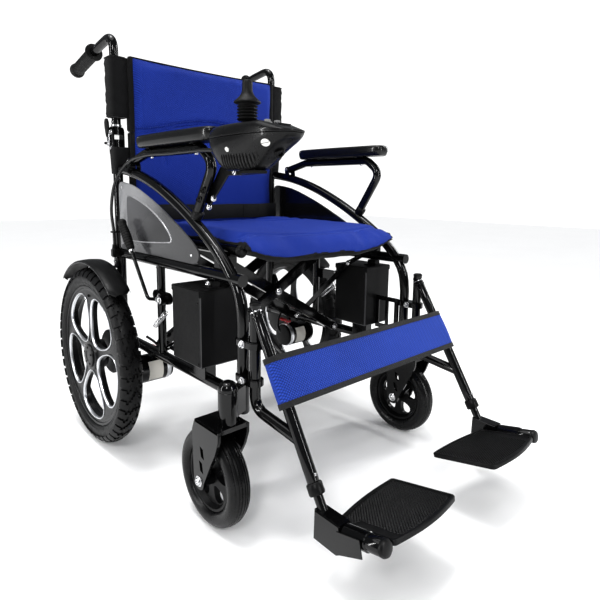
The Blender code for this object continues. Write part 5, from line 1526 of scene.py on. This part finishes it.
def sleeve(s):
    """The cloth sleeve round a back post, and the gusset round the post below it."""
    x = s * TUBE_X
    b = Build().use("black_cloth")
    rings = []
    for t in spread(0, 1, 18):
        z = 0.7475 + 0.1325 * t
        crease = 0.0006 * sin(t * 23) + 0.0005 * sin(t * 51)
        grow = 1 - 0.10 * max(0.0, abs(t - 0.5) * 2 - 0.9) / 0.1
        ring = []
        for a in turn(40):
            c, w = cos(a), sin(a)
            ring.append((x + (0.0212 * grow + crease) * blunt(c),
                         0.2425 + (0.0215 * grow + crease) * blunt(w), z))
        rings.append(ring)
    b.skin(rings)
    b.use("binding")
    for z in (0.7505, 0.8775):
        b.tube([(x + 0.0213 * blunt(cos(a)), 0.2425 + 0.0216 * blunt(sin(a)), z)
                for a in turn(40, 0.5)], 0.0009, 8, closed=True)
    b.sided(s, "back_sleeve", "back", "webbing")
    b = Build().use("black_cloth")
    rings = []
    for t in spread(0, 1, 12):
        z = 0.6205 + 0.0605 * t
        grow = 1 + 0.42 * t - 0.08 * max(0.0, t - 0.9) / 0.1
        ring = []
        for a in turn(36):
            c, w = cos(a), sin(a)
            ring.append((x - s * 0.0045 * t + 0.0148 * grow * blunt(c),
                         0.2435 + 0.0142 * grow * blunt(w), z))
        rings.append(ring)
    b.skin(rings)
    b.sided(s, "back_gusset", "frame", "webbing")


def belt():
    """Lap belt, lying across the foot of the backrest, with its stitched overlap."""
    b = Build().use("webbing")
    path, facing = [], []
    for t in spread(0, 1, 56):
        x = -0.2165 + 0.433 * t
        sag = 0.0022 * sin(pi * t) + 0.0006 * sin(t * 17)
        path.append(Vector((x, 0.2105 - 0.0012 * sin(pi * t), 0.5325 - sag)))
        facing.append(Vector((0, -1, 0.04 * sin(t * 9))))
    b.ribbon(path, facing, 0.0375, 0.0018)
    over = [p + Vector((0, -0.0018, 0)) for p in path[41:]]
    b.ribbon(over, (0, -1, 0.02), 0.0375, 0.0016)
    b.use("binding_grey")
    for x in (0.1045, 0.1105, 0.15):
        for z in range(9):
            zz = 0.5165 + 0.0036 * z
            b.tube([(x, 0.2062, zz), (x + 0.0004, 0.2058, zz + 0.0011), (x, 0.2062, zz + 0.0022)],
                   0.0005, 6)
    part = b.piece("lap_belt_webbing", "frame_right", "webbing", ["lap_belt"], angle=50)
    squash_x(part)


def leg_point(s, along):
    """A point down the middle of a leg tube."""
    return Vector((s * TUBE_X, LEG_TOP[0], LEG_TOP[1])) + LEG_DOWN * along


def calf_strap():
    """Open mesh band across the legs, wrapped round both tubes, bound along its edges."""
    ahead = Vector((0, LEG_DOWN.z, -LEG_DOWN.y))
    stations = []
    for a in arc(STRAP_WRAP_TURN, 0, 14):  # round the right tube, from its back to its front
        stations.append((-TUBE_X - STRAP_WRAP_R * sin(a), STRAP_WRAP_R * cos(a)))
    for k in range(1, 40):
        t = k / 40
        stations.append((-TUBE_X + 2 * TUBE_X * t, STRAP_WRAP_R - 0.0035 * sin(pi * t) ** 2))
    for a in arc(0, STRAP_WRAP_TURN, 14):
        stations.append((TUBE_X + STRAP_WRAP_R * sin(a), STRAP_WRAP_R * cos(a)))
    b = Build()

    def band(first, last, thick, key, wave=0.0):
        b.use(key)
        rings = []
        for i, (x, out) in enumerate(stations):
            x0, o0 = stations[max(i - 1, 0)]
            x1, o1 = stations[min(i + 1, len(stations) - 1)]
            along = Vector((x1 - x0, o1 - o0)).normalized()
            normal = Vector((-along.y, along.x))
            ring = []
            rows = 9
            for layer in (1, -1):
                order = range(rows) if layer > 0 else reversed(range(rows))
                for r in order:
                    t = r / (rows - 1)
                    lift = layer * thick / 2 + wave * sin(pi * t) * (0.6 + 0.4 * sin(x * 31))
                    base = leg_point(1, first + (last - first) * t)
                    here = Vector((x + normal.x * lift, 0, 0))
                    depth = out + normal.y * lift
                    ring.append(Vector((here.x, base.y, base.z)) + ahead * depth)
            rings.append(ring)
        b.skin(rings)

    band(*STRAP_MESH, 0.0026, "blue_open", 0.0014)
    for hem in STRAP_HEMS:
        band(*hem, 0.0042, "binding_grey")
    part = b.piece("calf_band", "hanger_right", "mesh_fabric", ["calf_strap"], angle=50)
    squash_x(part)


# ---- armrests -----------------------------------------------------------------------
def armrest(s):
    """The hoop that flips up, and its pad."""
    x = s * TUBE_X
    y, z = ARM_PIVOT
    b = Build().use("paint")
    hoop = rounded([(x, y, z), (x, 0.098, ARM_Z), (x, -0.118, ARM_Z), (x, -0.157, 0.632),
                    (x, -0.094, 0.5335)], 0.03, 8)
    b.tube(hoop, ARM_R, 20)
    b.collar(0.0038, 0.0085, -0.009, 0.009, (x, y, z), (1, 0, 0), 28)
    for py in (0.075, -0.1):
        b.box((x - 0.011, py - 0.008, ARM_Z + 0.0075), (x + 0.011, py + 0.008, ARM_Z + 0.0101),
              0.0008)
        b.bolt((x, py, ARM_Z - 0.0092), (0, 0, -1), 0.0035, 0.0025, washer=False)
    b.use("plastic").tube([(x, -0.1045, 0.5455), (x, -0.0985, 0.5375)], 0.0115, 24, dome=True)
    b.sided(s, "arm_hoop", "arm", "frame_paint", "armrest_frame")

    base = ARM_Z + ARM_R + 0.0004
    b = Build().use("foam")
    levels = [(0.0, 0.80), (0.0008, 0.865), (0.004, 0.925), (0.009, 0.975), (0.0135, 1.0),
              (0.0175, 0.99), (0.0205, 0.955), (0.0226, 0.88), (0.0237, 0.76), (0.024, 0.5),
              (0.0241, 0.2)]
    rings = []
    for up, grow in levels:
        ring = []
        for a in turn(72):
            c, w = cos(a), sin(a)
            ax = blunt(c)
            ay = blunt(w, 0.28)
            taper = 1 - 0.10 * max(0.0, -ay)
            shrink = 1 - (1 - grow) * 0.2
            ring.append((x + 0.027 * grow * taper * ax, -0.029 + 0.141 * shrink * ay,
                         base + up + (0.0005 if ay > 0 else 0) * up / 0.024))
        rings.append(ring)
    b.skin(rings)
    b.use("plastic").box((x - 0.019, -0.155, base - 0.0002), (x + 0.019, 0.097, base + 0.0012),
        0.0005)
    pad = b.sided(s, "arm_cushion", "arm", "arm_foam", "armrest_pad", angle=60)


# ---- controller ---------------------------------------------------------------------
def case_outline(scale_x, scale_y, shift):
    """The controller's outline: blunt at the back, narrowed towards its nose."""
    out = []
    for t in turn(72):
        c, q = cos(t), sin(t)
        side = blunt(c, 0.6) * (1 - 0.16 * max(0.0, -q))
        along = blunt(q, 0.75)
        out.append((STICK[0] + 0.0375 * scale_x * side, CASE_Y + shift + 0.095 * scale_y * along))
    return out


def sunk(b):
    """Lowers the top of the controller, which sits a little below its collision pieces."""
    for v in b.bm.verts:
        v.co.z -= CONTROLLER_DROP * min(1.0, max(0.0, (v.co.z - 0.640) / 0.03))
    return b


def controller():
    """The joystick box and the plate that carries it on the right armrest's leg."""
    def level(sx, sy, z, shift=0.0):
        return [(x, y, z) for x, y in case_outline(sx, sy, shift)]

    b = Build().use("case")
    bowl = [level(0.46, 0.36, 0.6166, 0.02), level(0.52, 0.42, 0.6172, 0.02),
            level(0.62, 0.49, 0.6212, 0.0195), level(0.74, 0.58, 0.6275, 0.0185),
            level(0.82, 0.67, 0.635, 0.0165), level(0.89, 0.765, 0.643, 0.0135),
            level(0.94, 0.85, 0.6515, 0.0095), level(0.975, 0.925, 0.659, 0.005),
            level(0.993, 0.972, 0.6655, 0.0018), level(0.998, 0.995, 0.6712, 0.0)]
    b.skin(bowl)
    # vent fins round the lower part of the bowl
    probe = Build().use("case")
    probe.skin(bowl)
    tree = BVHTree.FromBMesh(probe.bm)
    for k in range(17):
        y = CASE_Y - 0.056 + 0.0064 * k
        for side in (-1, 1):
            path = []
            for z in (0.6192, 0.6235, 0.629, 0.6345, 0.6395):
                origin = Vector((STICK[0] + side * 0.08, y - (z - 0.62) * 0.25, z))
                hit = tree.ray_cast(origin, Vector((-side, 0, 0)))[0]
                if hit is not None:
                    path.append(hit)
            if len(path) > 2:
                b.use("case").tube(path, [0.0016] + [0.0021] * (len(path) - 2) + [0.0009], 8,
                                   dome=True)

    # two pale plugs on the outer side
    def plug_at(y, z):
        hit = tree.ray_cast(Vector((STICK[0] - 0.09, y, z)), Vector((1, 0, 0)))[0]
        return (hit or Vector((STICK[0] - 0.03, y, z))) + Vector((0.0006, 0, 0))

    b.use("white_plug").lathe([(0, 0), (0.0068, 0), (0.0068, 0.0018), (0.006, 0.0026),
        (0, 0.0028)], plug_at(CASE_Y - 0.058, 0.6555), (-1, -0.45, -0.45), 28)
    spot = plug_at(CASE_Y - 0.058, 0.6555) + Vector((-1, -0.45, -0.45)).normalized() * 0.0024
    b.use("case").rod(spot + Vector((0.002, -0.0056, 0.001)),
                      spot + Vector((-0.002, 0.0056, -0.001)), 0.0006, 8)
    b.use("white_plug").lathe([(0, 0), (0.0048, 0), (0.0048, 0.0012), (0.004, 0.002), (0, 0.0022)],
        plug_at(CASE_Y + 0.022, 0.648), (-1, 0.1, -0.4), 24)
    # socket for the charger under the nose
    b.use("plastic").lathe([(0.004, 0), (0.0078, 0), (0.0078, 0.0038), (0.0066, 0.0048),
        (0.004, 0.0048)], (STICK[0], CASE_Y - 0.0565, 0.6405), (0, -0.75, -0.66), 28)
    gland = [(0, 0), (0.0088, 0), (0.0088, 0.004)]
    for k in range(5):
        a = 0.006 + 0.0048 * k
        r = 0.0082 - 0.0007 * k
        gland += [(r, a), (r, a + 0.0028), (r - 0.0013, a + 0.0032), (r - 0.0013, a + 0.0046)]
    gland += [(0.0044, 0.033), (0.0042, 0.034), (0, 0.034)]
    b.lathe(gland, (CABLE_EXIT[0], CABLE_EXIT[1] - 0.034 - 0.0003, CABLE_EXIT[2]), (0, 1, 0), 28)
    sunk(b).piece("controller_bowl", "arm_right", "controller_plastic", ["controller_base"],
        angle=40)

    b = Build().use("case")
    nose = STICK[1] - 0.062

    def deck(sx, sy, z, drop):
        return [(x, y, zz - drop * max(0.0, nose - y)) for x, y, zz in level(sx, sy, z)]

    b.skin([level(0.996, 0.996, 0.6722), level(1.004, 1.004, 0.6732),
        deck(1.004, 1.004, 0.6765, 0.03), deck(0.985, 0.99, 0.6803, 0.1),
        deck(0.95, 0.965, 0.6838, 0.17), deck(0.90, 0.93, 0.6866, 0.22),
        deck(0.84, 0.885, 0.6885, 0.26), deck(0.78, 0.84, 0.6896, 0.28),
        deck(0.72, 0.79, 0.6898, 0.28)])
    b.lathe([(0.0168, 0.682), (0.0285, 0.684), (0.0278, 0.6885), (0.0265, 0.6925),
             (0.0235, 0.6955), (0.0205, 0.6965), (0.0175, 0.6962), (0.0168, 0.694)],
            (*STICK, 0), (0, 0, 1), 56)
    holes = [(circle(x, y, 0.0049, 28), "z", 0.6845, 0.71) for x, y in button_places()]
    b.cut([(circle(*STICK, 0.0167, 48), "z", 0.6795, 0.72)] + holes)
    # screen window and the small lamps ahead of the buttons
    b.use("panel_black").prism(rounded_rect(STICK[0] - 0.015, STICK[0] + 0.015, STICK[1] - 0.085,
        STICK[1] - 0.069, 0.003), "z", 0.6815, 0.6858, 0.0005)
    b.use("white_plug")
    for k in range(5):
        b.lathe([(0, 0), (0.001, 0), (0.0008, 0.0004), (0, 0.0005)],
                (STICK[0] - 0.01 + 0.005 * k, STICK[1] - 0.077, 0.6858), (0, 0, 1), 12)
    sunk(b).piece("controller_shell", "arm_right", "controller_plastic", ["controller_cover"],
        angle=40)

    b = Build().use("steel")
    b.lathe([(0.0108, -0.0026), (0.0134, -0.0028), (0.0138, -0.0024), (0.0138, 0.0024),
             (0.0134, 0.0028), (0.0108, 0.0026)], (*STICK, STICK_Z), (0, 0, 1), 48)
    sunk(b).piece("joystick_ring", "stick_ring", "zinc_steel", ["joystick_gimbal"])
    b = Build().use("rubber")
    profile = [(0, -0.006), (0.006, -0.006), (0.0065, 0.0), (0.0068, 0.0078), (0.0145, 0.0088)]
    for k in range(5):
        base = 0.0092 + 0.0046 * k
        profile += [(0.0128, base), (0.0152, base + 0.0012), (0.0160, base + 0.0020),
                    (0.0152, base + 0.0028), (0.0128, base + 0.0038)]
    profile += [(0.0132, 0.0325), (0.0188, 0.0338), (0.0205, 0.0352), (0.0203, 0.0366),
                (0.0165, 0.0398), (0.0125, 0.0436), (0.0096, 0.0478), (0.0082, 0.0515),
                (0.0078, 0.056), (0.0078, 0.0635), (0.0077, 0.0655), (0.007, 0.0672),
                (0.0055, 0.068), (0, 0.0681)]
    b.lathe(profile, (*STICK, STICK_Z), (0, 0, 1), 48)
    sunk(b).piece("joystick_bellows", "stick", "grip_rubber", ["joystick"], angle=45)
    for name, (bx, by) in zip(BUTTONS, button_places()):
        b = Build().use("grey")
        b.lathe([(0, 0.686), (0.0045, 0.686), (0.0047, 0.6864), (0.0047, 0.6912),
                 (0.0042, 0.6922), (0.003, 0.6926), (0.001, 0.6922), (0, 0.6921)],
                (bx, by, 0), (0, 0, 1), 28)
        sunk(b).piece(f"{name}_cap", name, "button_plastic", [name])

    # clamp plate from the armrest leg
    x0 = -TUBE_X + ARM_R + 0.0003
    b = Build().use("paint_satin")
    # its bevelled edges take the lighter grey: a painted highlight
    b.prism([(-0.109, 0.5655), (-0.127, 0.557), (-0.186, 0.6115), (-0.245, 0.6115),
             (-0.245, 0.6225), (-0.163, 0.6275)], "x", x0, x0 + 0.0035, 0.0008, 2,
            edge_key="edge")
    b.prism([(x0 + 0.001, -0.228), (x0 + 0.001, -0.2445), (-0.25, -0.33), (-0.272, -0.33),
             (-0.272, -0.29)], "z", 0.6116, 0.6163, 0.0008)
    for y, zz in ((-0.1235, 0.5675), (-0.1385, 0.5835)):
        b.bolt((x0 + 0.0035, y, zz), (1, 0, 0), 0.0045, 0.0035)
        b.bolt((x0 + 0.0012, y + 0.0005, zz - 0.012), (0, -1, 0), 0.0042, 0.003)
        b.bolt((-TUBE_X - ARM_R + 0.0005, y + 0.001, zz + 0.001), (-1, 0, 0), 0.0045, 0.0045,
               key="plastic")
    b.bolt((x0, -0.205, 0.617), (-1, 0, 0), 0.0035, 0.003)
    b.piece("controller_clamp", "arm_right", "zinc_steel", ["controller_bracket"])


def button_places():
    """The middles of the controller's four buttons."""
    x, y = STICK[0], STICK[1] - 0.05
    return [(x + dx, y + dy) for dx, dy in ((-0.009, 0.009), (0.009, 0.009), (-0.009, -0.009),
        (0.009, -0.009))]


# ---- legrests and footplates --------------------------------------------------------
def hinge_axis():
    """The direction that the footplate's barrel points in."""
    return Vector((0, -cos(FOOT_PITCH), sin(FOOT_PITCH)))


def hinge_normal():
    """The direction that the footplate's face looks in."""
    return Vector((0, sin(FOOT_PITCH), cos(FOOT_PITCH)))


def hinge_point(s, along):
    y = leg_point(s, LEG_LENGTH).y - 0.0175 - 0.042 - 0.0003
    return Vector((s * TUBE_X, y, FOOT_AXIS_Z)) + hinge_axis() * along


def legrest(s):
    """Hanger, foot block and height pin; the footplate is made with them."""
    x = s * TUBE_X
    end = leg_point(s, LEG_LENGTH)
    r = 0.0095
    b = Build().use("paint")
    b.tube(rounded([(x, HANGER_Y, 0.4005), (x, HANGER_Y, 0.222), leg_point(s, 0.215)], 0.03, 8),
           r, 20)
    b.tube([leg_point(s, a) for a in (-0.004, 0.05, 0.15, 0.23, LEG_LENGTH - 0.001)], 0.0098, 24,
           dome=True)
    weld(b, leg_point(s, 0.012), LEG_DOWN, 0.0098)
    b.use("plastic").lathe([(0.0081, -0.0155), (0.0112, -0.0155), (0.0126, -0.0135), (0.0128, 0.0),
        (0.0118, 0.0022), (0.0081, 0.0022)], end, LEG_DOWN, 32)
    b.use("steel").lathe([(0.0096, -0.0012), (0.0106, -0.0006), (0.0106, 0.0006),
        (0.0096, 0.0012)], leg_point(s, 0.004), LEG_DOWN, 32)
    b.use("plastic").lathe([(0, 0.0), (0.0098, 0.0), (0.0098, 0.003), (0.007, 0.005), (0, 0.0055)],
        (x, HANGER_Y, 0.4005), (0, 0, 1), 28)
    b.sided(s, "leg_hanger", "hanger", "frame_paint", "legrest_hanger")

    foot_y = end.y - 0.0175
    start = hinge_point(s, 0.0)
    face = [start + hinge_normal() * up - hinge_axis() * 0.0003 for up in (-0.027, 0.0135)]
    b = Build().use("paint")
    b.prism([(foot_y + 0.012, 0.122), (foot_y + 0.013, 0.074), (foot_y - 0.033, 0.072),
             (face[0].y, face[0].z), (face[1].y, face[1].z)], "x", x - 0.0125, x + 0.0125, 0.0022,
            3)
    skirt = [start + hinge_normal() * up + hinge_axis() * out
             for up, out in ((-0.026, -0.004), (0.008, -0.004), (0.009, 0.04), (-0.0175, 0.040))]
    b.prism([(p.y, p.z) for p in skirt], "x", *sorted((x + s * 0.0142, x + s * 0.0162)), 0.0006)
    b.rod(leg_point(s, LEG_LENGTH - 0.085), leg_point(s, LEG_LENGTH + 0.045), 0.0075, 24)
    b.rod(start - hinge_axis() * 0.02, start + hinge_axis() * 0.06, 0.0045)
    b.sided(s, "foot_block", "foot", "frame_paint", "foot_tube")
    pin_at = end - LEG_DOWN * 0.026
    ahead = Vector((0, LEG_DOWN.z, -LEG_DOWN.y))
    b = Build().use("steel")
    b.lathe([(0, 0.0079), (0.0024, 0.0079), (0.0025, 0.0115), (0.0018, 0.0124), (0, 0.0126)],
            pin_at, ahead, 20)
    b.sided(s, "height_button", "pin", "zinc_steel", "height_pin")
    footplate(s)


def footplate(s):
    """A rimmed tray with raised diamonds, on the barrel that turns on the hinge pin."""
    base = hinge_point(s, 0.0)

    def at(p, height):
        spot = base + hinge_axis() * p[1] + hinge_normal() * height
        return Vector((s * p[0], spot.y, spot.z))

    w0, w1 = PLATE_X
    back_edge = lambda x: (-0.03 - 0.018 * (w1 - x) / (w1 - w0)
                           - 0.006 * sin(pi * (w1 - x) / (w1 - w0)))
    front_edge = lambda x: 0.0745 + 0.009 * sin(pi * (x - w0) / (w1 - w0))
    outline = [(x, front_edge(x)) for x in spread(w0, w1, 16)]
    outline += [(x, back_edge(x)) for x in spread(w1, w0, 16)]
    corners = []
    count = len(outline)
    for i, p in enumerate(outline):
        if i in (0, 16, 17, count - 1):
            before, after = Vector(outline[i - 1]), Vector(outline[(i + 1) % count])
            here = Vector(p)
            a = here + (before - here).normalized() * 0.006
            c = here + (after - here).normalized() * 0.006
            corners += [tuple((1 - t) ** 2 * a + 2 * t * (1 - t) * here + t * t * c)
                        for t in (0, 0.25, 0.5, 0.75, 1)]
        else:
            corners.append(p)
    middle = ((w0 + w1) / 2, 0.017)

    def shrunk(by):
        return [(middle[0] + (a - middle[0]) * (1 - by / 0.078),
                 middle[1] + (c - middle[1]) * (1 - by / 0.055)) for a, c in corners]

    b = Build().use("plastic")
    b.skin([[at(p, h) for p in shrunk(q)] for q, h in (
        (0.008, -0.0036), (0.0015, -0.0034), (0.0003, -0.0026), (0.0, 0.0035), (0.0006, 0.0049),
        (0.002, 0.0055), (0.0036, 0.0052), (0.0045, 0.0036), (0.006, 0.0030))])
    # ribs round the underside
    for t in (0.25, 0.5, 0.75):
        x = w0 + (w1 - w0) * t
        b.tube([at((x, back_edge(x) + 0.008), -0.0042), at((x, front_edge(x) - 0.008), -0.0042)],
               0.0014, 8)
    bm = bmesh.new()
    pitch = 0.0056
    rows = int(0.135 / (pitch * 0.5))
    for i in range(rows):
        along = -0.05 + i * pitch * 0.5
        for j in range(28):
            x = w0 + 0.0085 + (j + (0.5 if i % 2 else 0.0)) * pitch
            if x > w1 - 0.0085 or not back_edge(x) + 0.0085 < along < front_edge(x) - 0.0085:
                continue
            if x > 0.198 and 0.0 < along < 0.071:
                continue
            low = [bm.verts.new(at(q, 0.0028)) for q in ((x - 0.0022, along), (x, along - 0.0024),
                (x + 0.0022, along), (x, along + 0.0024))]
            high = [bm.verts.new(at(q, 0.0040)) for q in ((x - 0.0012, along), (x, along - 0.0013),
                (x + 0.0012, along), (x, along + 0.0013))]
            bm.faces.new(low)
            bm.faces.new(high)
            for q in range(4):
                w = (q + 1) % 4
                bm.faces.new([low[q], low[w], high[w], high[q]])
    b.use("plastic").take(bm)
    along = hinge_axis()
    b.use("paint").lathe([(0.0049, 0.001), (0.0128, 0.001), (0.0137, 0.002), (0.0137, 0.0435),
        (0.0128, 0.0447), (0.0119, 0.0455), (0.0119, 0.0665), (0.011, 0.068), (0.0049, 0.068)],
        base, along, 36)
    b.use("plastic").lathe([(0, 0.0668), (0.0122, 0.0668), (0.0124, 0.0705), (0.0108, 0.0738),
        (0.006, 0.0752), (0, 0.0755)], base, along, 36)
    b.use("plastic")
    lo = [at((xx, aa), hh) for xx in (0.199, 0.2225) for aa in (0.015, 0.055)
          for hh in (-0.0065, 0.0025)]
    bm = bmesh.new()
    bmesh.ops.convex_hull(bm, input=[bm.verts.new(p) for p in lo])
    bmesh.ops.bevel(bm, geom=list(bm.edges), offset=0.001, segments=2, affect="EDGES")
    b.take(bm)
    b.sided(s, "footplate_tray", "plate", "footplate_plastic", "footplate", angle=32)


# ---- parking brake ------------------------------------------------------------------
def brake_lever(s):
    """The parking brake: a bent rod with a ribbed grip."""
    x = s * 0.256
    b = Build().use("paint")
    b.tube(rounded([(x, 0.0, BRAKE_Z), (x, 0.062, 0.357), (x, 0.141, 0.46)], 0.018, 8), 0.0038, 16)
    b.collar(0.0049, 0.0105, -0.0045, 0.0045, (x, 0.0, BRAKE_Z), (1, 0, 0), 32)
    start, end = Vector((x, 0.136, 0.4535)), Vector((x, 0.1846, 0.517))
    along = (end - start).normalized()
    b.use("steel").lathe([(0, -0.005), (0.0058, -0.005), (0.0062, -0.004), (0.0062, 0.0),
        (0, 0.0)], start, along, 28)
    profile = [(0, 0), (0.0062, 0), (0.0072, 0.0012)]
    for k in range(10):
        a = 0.004 + 0.0062 * k
        r = 0.0074 + 0.0022 * sin(pi * min(1.0, (k + 1) / 11))
        profile += [(r, a), (r + 0.0008, a + 0.001), (r + 0.0008, a + 0.0036), (r, a + 0.0046)]
    profile += [(0.0092, 0.068), (0.0098, 0.072), (0.0088, 0.0765), (0.006, 0.0794), (0, 0.0802)]
    b.use("rubber").lathe(profile, start, along, 32)
    b.use("steel").lathe([(0.0039, 0), (0.0052, 0.0006), (0.0052, 0.0055), (0.0039, 0.006)],
        (x, 0.016, 0.3626), (0, 0.062, -0.008), 24)
    b.sided(s, "brake_handle", "brake", "grip_rubber", "brake_lever")


def cable_tie():
    """The tie that holds the cable to the back post."""
    b = Build().use("plastic")
    loop = [(x, y, 0.485) for x, y in circle(-0.2405, 0.2475, 0.0135, 32)]
    b.tube(loop, 0.0011, 8, closed=True, flat=1.4, up=(0, 0, 1))
    b.piece("cable_tie_post", "frame_right", "controller_plastic")


M = make_materials()
make_camera()
make_studio()
make_cable()
for side in (-1, 1):
    side_frame(side)
    side_panel(side)
    battery_box(side)
    drive_motor(side)
    clutch_lever(side)
    mudguard(side)
    rear_wheel(side)
    caster(side)
    back_post(side)
    latch(side)
    sleeve(side)
    armrest(side)
    legrest(side)
    brake_lever(side)
brace("a")
brace("b")
seat()
backrest()
belt()
calf_strap()
controller()
cable_tie()
